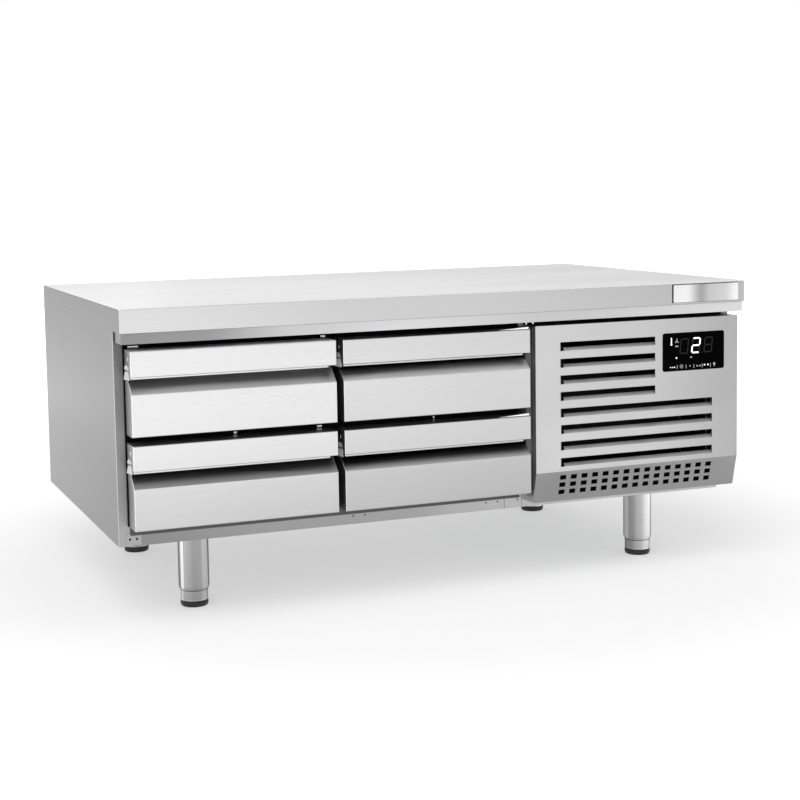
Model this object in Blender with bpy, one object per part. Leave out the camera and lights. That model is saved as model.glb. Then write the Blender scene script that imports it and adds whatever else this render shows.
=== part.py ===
"""Refrigerated chef base: a low counter with a flat worktop, two columns of two drawers and a
machine compartment behind a louvred panel, on four adjustable legs.

Metres, +Z up. The origin is on the floor under the middle of the body, and the front faces -Y.
"""

from math import cos, pi, radians, sin, tan

import bmesh
import bpy
from mathutils import Matrix, Vector

for item in list(bpy.data.objects):
    bpy.data.objects.remove(item)

# Driving dimensions
overall_length = 1.200
overall_depth = 0.700
overall_height = 0.540
leg_height = 0.135
worktop_thickness = 0.040
front_setback = 0.055
drawer_columns = 2
drawer_rows = 2

# Gaps, overruns and sheet thicknesses that all pieces share
fit = 0.0003
overrun = 0.005
join = 0.0005
sheet = 0.0015
edge_radius = 0.001
weld = 0.000001
sharp_angle = radians(35)

# Limits of the body under the worktop
left = -overall_length / 2
right = overall_length / 2
front = -overall_depth / 2
back = overall_depth / 2
body_top = overall_height - worktop_thickness - fit
body_bottom = leg_height
frame_front = front + front_setback
frame_depth = 0.030
frame_back = frame_front + frame_depth
side_thickness = 0.024
side_liner = 0.008
back_thickness = 0.024
back_inside = back - back_thickness - fit
right_panel_rise = 0.020

# Strip under the worktop's nose
strip_height = 0.018
strip_inset = 0.003
strip_bottom = body_top - strip_height

# Layout of the front, from the left: columns of drawers, then the machine panel
end_margin = 0.018
panel_margin = 0.012
panel_width = 0.429
panel_gap = 0.011
column_gap = 0.013
row_gap = 0.014
drawer_top_gap = 0.012
drawer_bottom_gap = 0.0347
frame_overlap = 0.012
mullion_width = 0.020
partition_width = 0.040
panel_right = right - panel_margin
panel_left = panel_right - panel_width
columns_space = panel_left - panel_gap - left - end_margin
column_width = (columns_space - (drawer_columns - 1) * column_gap) / drawer_columns
rows_space = strip_bottom - drawer_top_gap - body_bottom - drawer_bottom_gap
drawer_height = (rows_space - (drawer_rows - 1) * row_gap) / drawer_rows
column_pitch = column_width + column_gap
row_pitch = drawer_height + row_gap
post_overlap = side_thickness + side_liner - end_margin
partition_left = panel_left - panel_gap - post_overlap
partition_right = partition_left + partition_width
frame_split = partition_left + mullion_width

# Planes of the drawer fronts
face_recess = 0.005
gasket_thickness = 0.005
face_front = front + face_recess
gasket_back = frame_front - fit
gasket_front = gasket_back - gasket_thickness
face_back = gasket_front - fit


def column_left(column):
    """Left edge of a column of drawer fronts."""
    return left + end_margin + column * column_pitch


def row_top(row):
    """Top edge of a row of drawer fronts."""
    return strip_bottom - drawer_top_gap - row * row_pitch


def window_x(column):
    """Left and right edges of the frame's windows in a column."""
    start = column_left(column) - column_gap / 2 + mullion_width / 2
    end = column_left(column + 1) - column_gap / 2 - mullion_width / 2
    if column == 0:
        start = left + side_thickness + side_liner
    if column == drawer_columns - 1:
        end = partition_left
    return start, end


def window_z(row):
    """Bottom and top edges of the frame's windows in a row."""
    return row_top(row) - drawer_height + frame_overlap, row_top(row) - frame_overlap


# The room inside, in front of the evaporator and its cover
evaporator_depth = 0.046
cover_depth = 0.042
store_floor = window_z(drawer_rows - 1)[0]
store_ceiling = window_z(0)[1]
store_back = back_inside - evaporator_depth - fit - cover_depth
divider_middle = column_left(1) - column_gap / 2
drawers = [(column, row) for column in range(drawer_columns) for row in range(drawer_rows)]


# Materials
def look(name, colour, roughness, metallic):
    """A material from its colour, roughness and metallic value."""
    made = bpy.data.materials.new(name)
    made.use_nodes = True
    shader = made.node_tree.nodes["Principled BSDF"]
    shader.inputs["Base Color"].default_value = (*colour, 1)
    shader.inputs["Roughness"].default_value = roughness
    shader.inputs["Metallic"].default_value = metallic
    return made


stainless = look("brushed_stainless", (0.62, 0.62, 0.62), 0.32, 1.0)
stainless_bright = look("bright_stainless", (0.76, 0.76, 0.76), 0.22, 1.0)
galvanised = look("galvanised_steel", (0.50, 0.51, 0.52), 0.45, 1.0)
black_plastic = look("black_plastic", (0.012, 0.012, 0.013), 0.45, 0.0)
grey_gasket = look("grey_gasket", (0.16, 0.16, 0.17), 0.60, 0.0)
black_glass = look("black_glass", (0.004, 0.004, 0.005), 0.08, 0.0)
black_paint = look("black_paint", (0.015, 0.015, 0.016), 0.35, 0.0)
aluminium = look("aluminium_fins", (0.72, 0.73, 0.74), 0.35, 1.0)
copper = look("copper", (0.72, 0.36, 0.22), 0.28, 1.0)


# Shapes
def prism(points, start, end, axis):
    """A closed solid: an outline in the other two axes, extruded along the given one."""
    places = {
        "X": lambda a, b, c: Vector((c, a, b)),
        "Y": lambda a, b, c: Vector((a, c, b)),
        "Z": lambda a, b, c: Vector((a, b, c)),
    }
    place = places[axis]
    shape = bmesh.new()
    face = shape.faces.new([shape.verts.new(place(a, b, start)) for a, b in points])
    made = bmesh.ops.extrude_face_region(shape, geom=[face])
    moved = [part for part in made["geom"] if isinstance(part, bmesh.types.BMVert)]
    bmesh.ops.translate(shape, verts=moved, vec=place(0, 0, end - start))
    bmesh.ops.recalc_face_normals(shape, faces=shape.faces)
    return shape


def block(xs, ys, zs):
    """A box between two limits on each axis."""
    corners = [(xs[0], ys[0]), (xs[1], ys[0]), (xs[1], ys[1]), (xs[0], ys[1])]
    return prism(corners, zs[0], zs[1], "Z")


def bend(before, corner, after, radius, steps):
    """Points of the arc that rounds a corner between its two neighbours."""
    inward = (before - corner).normalized()
    outward = (after - corner).normalized()
    half = inward.angle(outward) / 2
    centre = corner + (inward + outward).normalized() * radius / sin(half)
    start = corner + inward * radius / tan(half) - centre
    end = corner + outward * radius / tan(half) - centre
    return [centre + start.slerp(end, step / steps) * radius for step in range(steps + 1)]


def outline(corners, steps=3):
    """Points round an outline given by its corners, each with the radius of its bend."""
    spots = [Vector(corner[:2]) for corner in corners]
    points = []
    for index, spot in enumerate(spots):
        radius = corners[index][2]
        following = spots[(index + 1) % len(spots)]
        points += bend(spots[index - 1], spot, following, radius, steps) if radius else [spot]
    return points


def turned(profile, centre, axis, steps, ring=False):
    """A solid of revolution from (radius, distance along the axis) pairs."""
    shape = bmesh.new()
    verts = [shape.verts.new((radius, 0, along)) for radius, along in profile]
    pairs = list(zip(verts, verts[1:]))
    if ring:
        pairs.append((verts[-1], verts[0]))
    edges = [shape.edges.new(pair) for pair in pairs]
    bmesh.ops.spin(
        shape, geom=verts + edges, axis=(0, 0, 1), angle=2 * pi, steps=steps, use_merge=True
    )
    bmesh.ops.remove_doubles(shape, verts=shape.verts, dist=weld)
    if axis == "Y":
        bmesh.ops.rotate(shape, verts=shape.verts, matrix=Matrix.Rotation(pi / 2, 3, "X"))
    bmesh.ops.translate(shape, verts=shape.verts, vec=Vector(centre))
    bmesh.ops.recalc_face_normals(shape, faces=shape.faces)
    return shape


def together(shapes):
    """Several closed shapes in one mesh, for a cutter or for pieces to be joined."""
    merged = bmesh.new()
    for shape in shapes:
        mesh = bpy.data.meshes.new("piece")
        shape.to_mesh(mesh)
        shape.free()
        merged.from_mesh(mesh)
        bpy.data.meshes.remove(mesh)
    return merged


# Objects
def pivot(name, place):
    """An empty on a joint's axis, for the pieces that move on it."""
    made = bpy.data.objects.new(name, None)
    bpy.context.scene.collection.objects.link(made)
    made.location = place
    return made


def node(name, shape, material=None, carrier=None):
    """An object of its own, held by an empty if it moves."""
    mesh = bpy.data.meshes.new(name)
    shape.to_mesh(mesh)
    shape.free()
    made = bpy.data.objects.new(name, mesh)
    bpy.context.scene.collection.objects.link(made)
    if material:
        mesh.materials.append(material)
    if carrier:
        made.parent = carrier
        made.matrix_parent_inverse = Matrix.Translation(carrier.location).inverted()
    return made


def combine(item, operation, purpose, shape):
    """Cuts a shape from an object, or joins it on."""
    tool = node(item.name + "_" + purpose, shape)
    tool.hide_render = True
    tool.display_type = "WIRE"
    modifier = item.modifiers.new(purpose, "BOOLEAN")
    modifier.operation = operation
    modifier.object = tool
    modifier.solver = "EXACT"


def soften(item, width=edge_radius):
    """Rounds the folded edges of a plain shape."""
    modifier = item.modifiers.new("folded_edges", "BEVEL")
    modifier.width = width
    modifier.segments = 2
    modifier.limit_method = "ANGLE"
    modifier.angle_limit = sharp_angle


def smooth(item):
    """Smooth shading on round faces."""
    item.data.shade_smooth()
    item.data.set_sharp_from_angle(angle=sharp_angle)


# Worktop and the strip under its nose
def worktop():
    """The flat top, whose nose overhangs the drawers."""
    zs = (overall_height - worktop_thickness, overall_height)
    soften(node("worktop", block((left, right), (front, back), zs), stainless))


def nose_strip():
    """A shallow folded tray behind the nose, open towards the frame."""
    xs = (left + strip_inset, right - strip_inset)
    ys = (front + strip_inset, frame_front - fit)
    item = node("nose_strip", block(xs, ys, (strip_bottom, body_top)), stainless)
    hollow = block(
        (xs[0] + sheet, xs[1] - sheet),
        (ys[0] + sheet, ys[1] + overrun),
        (strip_bottom + sheet, body_top - sheet),
    )
    combine(item, "DIFFERENCE", "hollow", hollow)


# Cabinet walls
def side_panels():
    """The left wall carries the store's liner; the right one stops above the machine's tray."""
    inner = left + side_thickness
    liner = inner + side_liner
    liner_front = frame_back + fit
    corners = [
        (left, frame_front),
        (inner, frame_front),
        (inner, liner_front),
        (liner, liner_front),
        (liner, back_inside),
        (inner, back_inside),
        (inner, back),
        (left, back),
    ]
    wall = prism(corners, body_bottom, body_top, "Z")
    soften(node("side_panel_left", wall, stainless))
    zs = (body_bottom + right_panel_rise, body_top)
    wall = block((right - side_thickness, right), (frame_front, back), zs)
    soften(node("side_panel_right", wall, stainless))


vent_count = 7
vent_length = 0.240
vent_height = 0.008
vent_pitch = 0.022


def back_panel():
    """The back wall, with air slots behind the machine."""
    xs = (left + side_thickness + fit, right - side_thickness - fit)
    ys = (back - back_thickness, back)
    item = node("back_panel", block(xs, ys, (body_bottom, body_top)), stainless)
    middle = (partition_right + xs[1]) / 2
    first = (body_bottom + body_top - (vent_count - 1) * vent_pitch) / 2
    slots = [
        block(
            (middle - vent_length / 2, middle + vent_length / 2),
            (ys[0] - overrun, ys[1] + overrun),
            (first + slot * vent_pitch, first + slot * vent_pitch + vent_height),
        )
        for slot in range(vent_count)
    ]
    combine(item, "DIFFERENCE", "vents", together(slots))


machine_stile = 0.024


def front_frames():
    """The welded frame that the drawers close on, with a window for each, and the machine's."""
    ys = (frame_front, frame_back)
    zs = (body_bottom, body_top)
    through = (ys[0] - overrun, ys[1] + overrun)
    item = node("front_frame", block((left + side_thickness + fit, frame_split), ys, zs), stainless)
    windows = [block(window_x(column), through, window_z(row)) for column, row in drawers]
    combine(item, "DIFFERENCE", "windows", together(windows))
    xs = (frame_split + fit, right - side_thickness - fit)
    item = node("machine_frame", block(xs, ys, zs), stainless)
    service = (partition_right, xs[1] - machine_stile)
    window = block(service, through, (store_floor, store_ceiling))
    combine(item, "DIFFERENCE", "window", window)


def store_walls():
    """The insulated floor and ceiling, and the uprights beside the drawers."""
    xs = (left + side_thickness + side_liner + fit, partition_left - fit)
    ys = (frame_back + fit, back_inside)
    node("base_panel", block(xs, ys, (body_bottom, store_floor)), stainless)
    node("ceiling_panel", block(xs, ys, (store_ceiling, body_top)), stainless)
    across = (partition_left, partition_right)
    node("partition", block(across, ys, (body_bottom, body_top)), stainless)
    across = (divider_middle - mullion_width / 2, divider_middle + mullion_width / 2)
    along = (ys[0], runner_back + runner_stop)
    zs = (store_floor + fit, store_ceiling - fit)
    node("divider", block(across, along, zs), stainless)


# Machine tray
tray_height = 0.012
tray_sheet = 0.002


def unit_tray():
    """The folded tray under the condensing unit."""
    xs = (partition_right + fit, right - side_thickness - fit)
    ys = (frame_back + fit, back_inside)
    zs = (body_bottom, body_bottom + tray_height)
    item = node("unit_tray", block(xs, ys, zs), galvanised)
    hollow = block(
        (xs[0] + tray_sheet, xs[1] - tray_sheet),
        (ys[0] + tray_sheet, ys[1] - tray_sheet),
        (zs[0] + tray_sheet, zs[1] + overrun),
    )
    combine(item, "DIFFERENCE", "hollow", hollow)


# Louvred machine panel
panel_top_gap = 0.008
panel_bottom_gap = 0.0127
apron_height = 0.057
apron_lean = 0.014
slot_count = 8
slot_left = 0.050
slot_right = 0.056
slot_drop = 0.0315
slot_rise = 0.0087
slot_height_share = 0.5263
louvre_depth = 0.0085
louvre_sheet = 0.0012
louvre_inset = 0.006
hole_rows = 3
hole_columns = 15
hole_width = 0.0124
hole_height = 0.0088
hole_row_pitch = 0.0145
hole_drop = 0.012
panel_top = strip_bottom - panel_top_gap
panel_bottom = body_bottom + panel_bottom_gap
knee = panel_bottom + apron_height
slots_space = panel_top - slot_drop - knee - slot_rise
slot_pitch = slots_space / (slot_count - 1 + slot_height_share)
slot_height = slot_pitch * slot_height_share
apron_angle = Vector((apron_height, apron_lean)).angle(Vector((apron_height, 0)))
apron_length = Vector((apron_height, apron_lean)).length

# Controller set into the machine panel
controller_width = 0.134
controller_height = 0.072
controller_right = 0.030
controller_drop = 0.027
controller_corner = 0.004
controller_proud = 0.001
controller_rim = 0.006
controller_depth = 0.028
controller_side_clear = 0.016
controller_under_clear = 0.030
controller_x = (
    panel_right - controller_right - controller_width,
    panel_right - controller_right,
)
controller_z = (
    panel_top - controller_drop - controller_height,
    panel_top - controller_drop,
)


def panel_section(inset, rear):
    """The panel's outline seen from the side, drawn in by a thickness of sheet, back to a plane."""
    skin = face_front + inset
    return [
        (skin, panel_top - inset),
        (skin, knee),
        (skin + apron_lean, panel_bottom + inset),
        (rear, panel_bottom + inset),
        (rear, panel_top - inset),
    ]


def slot_span(slot):
    """Left, right, bottom and top of an air slot, which is short beside the controller."""
    top = panel_top - slot_drop - slot * slot_pitch
    beside = top > controller_z[0] - controller_under_clear
    end = controller_x[0] - controller_side_clear if beside else panel_right - slot_right
    return panel_left + slot_left, end, top - slot_height, top


def louvre(slot):
    """The lip bent inwards from a slot's lower edge, which leaves the upper half open."""
    start, end, bottom, _ = slot_span(slot)
    skin = face_front + join
    corners = [
        (skin, bottom - louvre_sheet),
        (skin + louvre_sheet, bottom - louvre_sheet),
        (skin + louvre_depth + louvre_sheet, bottom + slot_height / 2 - louvre_sheet),
        (skin + louvre_depth, bottom + slot_height / 2),
        (skin, bottom + join),
    ]
    return prism(corners, start + louvre_inset, end - louvre_inset, "X")


def apron_holes():
    """Cutters for the rows of small holes, square to the leaning apron."""
    start = panel_left + slot_left
    pitch = (panel_right - slot_right - hole_width - start) / (hole_columns - 1)
    shapes = []
    for row in range(hole_rows):
        drop = hole_drop + row * hole_row_pitch
        for column in range(hole_columns):
            xs = (start + column * pitch, start + column * pitch + hole_width)
            zs = (-drop - hole_height / 2, -drop + hole_height / 2)
            shapes.append(block(xs, (-overrun, overrun), zs))
    holes = together(shapes)
    turn = Matrix.Rotation(apron_angle, 3, "X")
    bmesh.ops.rotate(holes, verts=holes.verts, matrix=turn)
    bmesh.ops.translate(holes, verts=holes.verts, vec=(0, face_front, knee))
    return holes


def machine_panel():
    """A folded tray with louvred slots, a knee and a perforated apron."""
    rear = frame_front - fit
    shell = prism(panel_section(0, rear), panel_left, panel_right, "X")
    item = node("machine_panel", shell, stainless)
    section = panel_section(sheet, rear + overrun)
    hollow = prism(section, panel_left + sheet, panel_right - sheet, "X")
    combine(item, "DIFFERENCE", "hollow", hollow)
    through = (face_front - overrun, face_front + sheet + overrun)
    cuts = []
    for slot in range(slot_count):
        start, end, bottom, top = slot_span(slot)
        cuts.append(block((start, end), through, (bottom, top)))
    opening = [
        (controller_x[0] + controller_rim - fit, controller_x[1] - controller_rim + fit),
        (controller_z[0] + controller_rim - fit, controller_z[1] - controller_rim + fit),
    ]
    cuts.append(block(opening[0], through, opening[1]))
    combine(item, "DIFFERENCE", "slots", together(cuts))
    combine(item, "DIFFERENCE", "holes", apron_holes())
    louvres = together([louvre(slot) for slot in range(slot_count)])
    combine(item, "UNION", "louvres", louvres)


def controller():
    """The temperature controller: a glass face with round corners and the case behind it."""
    xs, zs = controller_x, controller_z
    corner = controller_corner
    corners = [
        (xs[0], zs[0], corner),
        (xs[1], zs[0], corner),
        (xs[1], zs[1], corner),
        (xs[0], zs[1], corner),
    ]
    face = prism(outline(corners), face_front - controller_proud, face_front - fit, "Y")
    item = node("controller", face, black_glass)
    case = block(
        (xs[0] + controller_rim, xs[1] - controller_rim),
        (face_front - fit - join, face_front + controller_depth),
        (zs[0] + controller_rim, zs[1] - controller_rim),
    )
    combine(item, "UNION", "case", case)


# Drawers
band_height = 0.043
band_bend = 0.002
grip_height = 0.029
grip_depth = 0.032
grip_roof = 0.010
lip_depth = 0.009
lip_end = 0.014
end_hole = 0.005
end_hole_drop = 0.012
end_slot_height = 0.012
end_slot_drop = 0.030
end_holes_depth = 0.020
gasket_width = 0.012
gasket_inset = 0.0015
gasket_rib = 0.002
box_rise = 0.008
box_top_clear = 0.011
box_back_clear = 0.0137
box_height = drawer_height - 2 * frame_overlap - box_rise - box_top_clear

# Telescopic runners between the store's walls and the drawer boxes
runner_space = 0.0145
runner_height_share = 0.44
runner_lip = 0.0115
runner_middle_lip = 0.0122
runner_sheet = 0.0015
runner_web = 0.002
runner_gap = 0.0005
runner_setback = 0.004
runner_back_clear = 0.0124
runner_stop = 0.003
rack_strip = 0.0015
rack_strip_width = 0.025
rack_strip_inset = 0.060
rack_overhang = 0.012
runner_height = box_height * runner_height_share
runner_front = frame_front + runner_setback
runner_back = store_back - runner_back_clear


def runner_z(row):
    """Bottom and top of a row's fixed runners, halfway up the drawer box."""
    middle = window_z(row)[0] + box_rise + box_height / 2
    return middle - runner_height / 2, middle + runner_height / 2


def drawer_section(column, row):
    """Left, right, bottom and top of a drawer front."""
    start = column_left(column)
    return start, start + column_width, row_top(row) - drawer_height, row_top(row)


def drawer_front(name, column, row, carrier):
    """The folded front: a hollow band above, and a slope that leads the fingers up behind it."""
    start, end, bottom, top = drawer_section(column, row)
    band_bottom = top - band_height
    grip_back = face_front + grip_depth
    slope_foot = band_bottom - grip_height
    corners = [
        (face_front, top, band_bend),
        (face_back, top, 0),
        (face_back, bottom, 0),
        (face_front, bottom, band_bend),
        (face_front, slope_foot, band_bend),
        (grip_back, band_bottom, 0),
        (face_front, band_bottom, 0),
    ]
    item = node(name, prism(outline(corners), start, end, "X"), stainless, carrier)
    # The hollow of the band, between two end plates and above a lip along its lower edge.
    inner = face_front + sheet
    lip_back = face_front + lip_depth
    hollow = [
        (inner, top - grip_roof),
        (inner, band_bottom + sheet),
        (lip_back, band_bottom + sheet),
        (lip_back, band_bottom - join),
        (grip_back, band_bottom - join),
        (grip_back, top - grip_roof),
    ]
    ends = (start + sheet, end - sheet)
    combine(item, "DIFFERENCE", "grip", prism(hollow, ends[0], ends[1], "X"))
    # The lip stops short of the right end.
    stop = block(
        (end - lip_end, ends[1]),
        (inner, lip_back + join),
        (band_bottom - join, band_bottom + sheet + join),
    )
    combine(item, "DIFFERENCE", "lip_end", stop)
    # A hole and a slot through each end plate.
    middle = face_front + end_holes_depth
    through = [(start - overrun, start + overrun), (end - overrun, end + overrun)]
    cuts = []
    for xs in through:
        ys = (middle - end_hole / 2, middle + end_hole / 2)
        drop = top - end_hole_drop
        cuts.append(block(xs, ys, (drop - end_hole, drop)))
        drop = top - end_slot_drop
        cuts.append(block(xs, ys, (drop - end_slot_height / 2, drop + end_slot_height / 2)))
    combine(item, "DIFFERENCE", "end_holes", together(cuts))


def drawer_gasket(name, column, row, carrier):
    """The magnetic gasket: a closed ring on the back of the front, narrower where it seals."""
    start, end, bottom, top = drawer_section(column, row)
    rings = []
    ribs = ((0, gasket_front), (gasket_rib, (gasket_front + gasket_back) / 2), (0, gasket_back))
    for outer in (True, False):
        for shrink, depth in ribs:
            inset = gasket_inset + (shrink if outer else gasket_width - shrink)
            rings.append((start + inset, end - inset, bottom + inset, top - inset, depth))
    order = rings[:3] + rings[:2:-1]
    shape = bmesh.new()
    loops = []
    for west, east, low, high, depth in order:
        corners = ((west, low), (east, low), (east, high), (west, high))
        loops.append([shape.verts.new((x, depth, z)) for x, z in corners])
    for index, loop in enumerate(loops):
        following = loops[(index + 1) % len(loops)]
        for side in range(len(loop)):
            turn = (side + 1) % len(loop)
            shape.faces.new((loop[side], loop[turn], following[turn], following[side]))
    bmesh.ops.recalc_face_normals(shape, faces=shape.faces)
    node(name, shape, grey_gasket, carrier)


def drawer_box(name, column, row, carrier):
    """The steel drawer, open above, with the inner runners on its sides."""
    window = window_x(column)
    xs = (window[0] + runner_space, window[1] - runner_space)
    ys = (face_back + fit, store_back - box_back_clear)
    low = window_z(row)[0] + box_rise
    zs = (low, low + box_height)
    item = node(name, block(xs, ys, zs), stainless_bright, carrier)
    hollow = block(
        (xs[0] + sheet, xs[1] - sheet),
        (ys[0] + sheet, ys[1] - sheet),
        (zs[0] + sheet, zs[1] + overrun),
    )
    combine(item, "DIFFERENCE", "hollow", hollow)
    # A C profile on each side, its open side against the box.
    bottom, top = runner_z(row)
    trim = runner_sheet + runner_gap
    zs = (bottom + 2 * trim, top - 2 * trim)
    runners = []
    for wall, side, inward in ((xs[0], window[0], 1), (xs[1], window[1], -1)):
        web = side + inward * (fit + 2 * runner_web + 2 * runner_gap)
        root = wall + inward * join
        corners = [
            (root, zs[0]),
            (web, zs[0]),
            (web, zs[1]),
            (root, zs[1]),
            (root, zs[1] - runner_sheet),
            (web + inward * runner_sheet, zs[1] - runner_sheet),
            (web + inward * runner_sheet, zs[0] + runner_sheet),
            (root, zs[0] + runner_sheet),
        ]
        runners.append(prism(corners, runner_front, runner_back, "Y"))
    combine(item, "UNION", "inner_runners", together(runners))


def channel(wall, inward, zs, lip, web, flange):
    """A C profile along the drawer's way, with its web towards the wall."""
    corners = [
        (wall, zs[0]),
        (wall + inward * lip, zs[0]),
        (wall + inward * lip, zs[0] + flange),
        (wall + inward * web, zs[0] + flange),
        (wall + inward * web, zs[1] - flange),
        (wall + inward * lip, zs[1] - flange),
        (wall + inward * lip, zs[1]),
        (wall, zs[1]),
    ]
    return prism(corners, runner_front, runner_back, "Y")


def middle_runners(number, column, row, carrier):
    """The middle member of each telescopic runner, one on each side of the drawer."""
    bottom, top = runner_z(row)
    trim = runner_sheet + runner_gap
    start, end = window_x(column)
    reach = fit + runner_web + runner_gap
    for side, wall, inward in (("left", start, 1), ("right", end, -1)):
        shape = channel(
            wall + inward * reach,
            inward,
            (bottom + trim, top - trim),
            runner_middle_lip - reach,
            runner_web,
            runner_sheet,
        )
        node(f"runner_{side}_{number}", shape, galvanised, carrier)


def runner_racks():
    """On each wall of a column, the fixed runners of both rows on two upright strips."""
    for column in range(drawer_columns):
        start, end = window_x(column)
        for side, wall, inward in (("left", start, 1), ("right", end, -1)):
            face = wall + inward * fit
            rows = [
                channel(face, inward, runner_z(row), runner_lip, runner_web, runner_sheet)
                for row in range(drawer_rows)
            ]
            name = f"rack_{side}_{column + 1}"
            item = node(name, rows[0], galvanised)
            joined = rows[1:]
            xs = sorted((face + inward * fit, face + inward * (fit + rack_strip)))
            zs = (runner_z(drawer_rows - 1)[0] - rack_overhang, runner_z(0)[1] + rack_overhang)
            strips = (runner_front + rack_strip_inset, runner_back - rack_strip_inset)
            for place in strips:
                ys = (place - rack_strip_width / 2, place + rack_strip_width / 2)
                joined.append(block(xs, ys, zs))
            for index, shape in enumerate(joined):
                combine(item, "UNION", f"piece_{index + 1}", shape)


def drawer_set():
    """Each drawer on its own axis, and its middle runners on theirs."""
    for number, (column, row) in enumerate(drawers, 1):
        start, end, bottom, top = drawer_section(column, row)
        place = ((start + end) / 2, face_front, (bottom + top) / 2)
        carrier = pivot(f"drawer_{number}_axis", place)
        drawer_front(f"drawer_front_{number}", column, row, carrier)
        drawer_gasket(f"drawer_gasket_{number}", column, row, carrier)
        drawer_box(f"drawer_box_{number}", column, row, carrier)
        low, high = runner_z(row)
        place = ((start + end) / 2, runner_front, (low + high) / 2)
        carrier = pivot(f"runners_{number}_axis", place)
        middle_runners(number, column, row, carrier)


# Legs
leg_end_inset = 0.150
leg_front_inset = 0.140
leg_back_inset = 0.110
leg_radius = 0.027
leg_wall = 0.002
leg_flange_radius = 0.043
leg_flange_thickness = 0.003
leg_clear = 0.030
sleeve_radius = 0.024
sleeve_length = 0.085
sleeve_groove = 0.001
pad_radius = 0.0245
pad_height = 0.010
pad_chamfer = 0.002
pad_recess = 0.003
leg_steps = 28


def legs():
    """Four legs: a tube under the body, and a sleeve that screws in and out of it on a pad."""
    xs = (left + leg_end_inset, right - leg_end_inset)
    ys = (front + leg_front_inset, back - leg_back_inset)
    flange_top = body_bottom - fit
    flange_bottom = flange_top - leg_flange_thickness
    tube_inside = leg_radius - leg_wall
    tube = [
        (0, flange_top),
        (leg_flange_radius, flange_top),
        (leg_flange_radius, flange_bottom),
        (leg_radius, flange_bottom),
        (leg_radius, leg_clear),
        (tube_inside, leg_clear),
        (tube_inside, flange_bottom),
        (0, flange_bottom),
    ]
    seat = pad_height + fit
    sleeve = [
        (0, sleeve_length),
        (sleeve_radius - sleeve_groove, sleeve_length),
        (sleeve_radius, sleeve_length - sleeve_groove),
        (sleeve_radius, seat + sleeve_groove),
        (sleeve_radius - sleeve_groove, seat),
        (0, seat),
    ]
    pad = [
        (0, pad_height),
        (pad_radius - pad_chamfer, pad_height),
        (pad_radius, pad_height - pad_chamfer),
        (pad_radius, pad_recess),
        (pad_radius - pad_chamfer, 0),
        (0, 0),
    ]
    places = [(x, y) for y in ys for x in xs]
    for number, (x, y) in enumerate(places, 1):
        carrier = pivot(f"foot_{number}_axis", (x, y, 0))
        centre = (x, y, 0)
        smooth(node(f"leg_tube_{number}", turned(tube, centre, "Z", leg_steps), stainless))
        shape = turned(sleeve, centre, "Z", leg_steps)
        smooth(node(f"foot_sleeve_{number}", shape, stainless_bright, carrier))
        shape = turned(pad, centre, "Z", leg_steps)
        smooth(node(f"foot_pad_{number}", shape, black_plastic, carrier))


# Fans: a bored hub with pitched blades, turning about Y
blade_count = 5
blade_stations = 4
blade_chords = 4
blade_thickness = 0.0015
blade_span_share = 0.62
blade_sweep = radians(14)
hub_steps = 20


def fan_blades(centre, inner, outer, depth):
    """Closed blades from the hub to the tip, each a pitched and swept sheet."""
    blades = []
    pitch = 2 * pi / blade_count
    for number in range(blade_count):
        shape = bmesh.new()
        skins = []
        for side in (-1, 1):
            skin = []
            for station in range(blade_stations):
                out = station / (blade_stations - 1)
                radius = inner + (outer - inner) * out
                line = []
                for chord in range(blade_chords):
                    across = chord / (blade_chords - 1) - 1 / 2
                    angle = number * pitch + blade_sweep * out + across * pitch * blade_span_share
                    along = across * depth + side * blade_thickness / 2
                    spot = (radius * cos(angle), along, radius * sin(angle))
                    line.append(shape.verts.new(Vector(centre) + Vector(spot)))
                skin.append(line)
            skins.append(skin)
        for skin in skins:
            for near, far in zip(skin, skin[1:]):
                for index in range(blade_chords - 1):
                    corners = (near[index], near[index + 1], far[index + 1], far[index])
                    shape.faces.new(corners)
        first, second = skins
        rims = [
            (first[0], second[0]),
            (first[-1], second[-1]),
            ([line[0] for line in first], [line[0] for line in second]),
            ([line[-1] for line in first], [line[-1] for line in second]),
        ]
        for lower, upper in rims:
            for index in range(len(lower) - 1):
                corners = (lower[index], lower[index + 1], upper[index + 1], upper[index])
                shape.faces.new(corners)
        bmesh.ops.recalc_face_normals(shape, faces=shape.faces)
        blades.append(shape)
    return together(blades)


def fan(name, centre, radius, hub_radius, bore, depth, material):
    """A fan on an empty at its axis."""
    carrier = pivot(name + "_axis", centre)
    half = depth / 2
    ring = [(bore, half), (hub_radius, half), (hub_radius, -half), (bore, -half)]
    item = node(name, turned(ring, centre, "Y", hub_steps, ring=True), material, carrier)
    blades = fan_blades(centre, hub_radius - blade_thickness, radius, depth - 2 * blade_thickness)
    combine(item, "UNION", "blades", blades)


def finned(name, xs, ys, zs, count, fin, core):
    """A coil block whose fins stand on a solid core, open towards the front."""
    pitch = (xs[1] - xs[0] - fin) / (count - 1)
    corners = [(xs[1], ys[1]), (xs[0], ys[1])]
    for number in range(count):
        start = xs[0] + number * pitch
        if number:
            corners.append((start, ys[1] - core))
        corners += [(start, ys[0]), (start + fin, ys[0])]
        if number < count - 1:
            corners.append((start + fin, ys[1] - core))
    return node(name, prism(corners, zs[0], zs[1], "Z"), aluminium)


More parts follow.
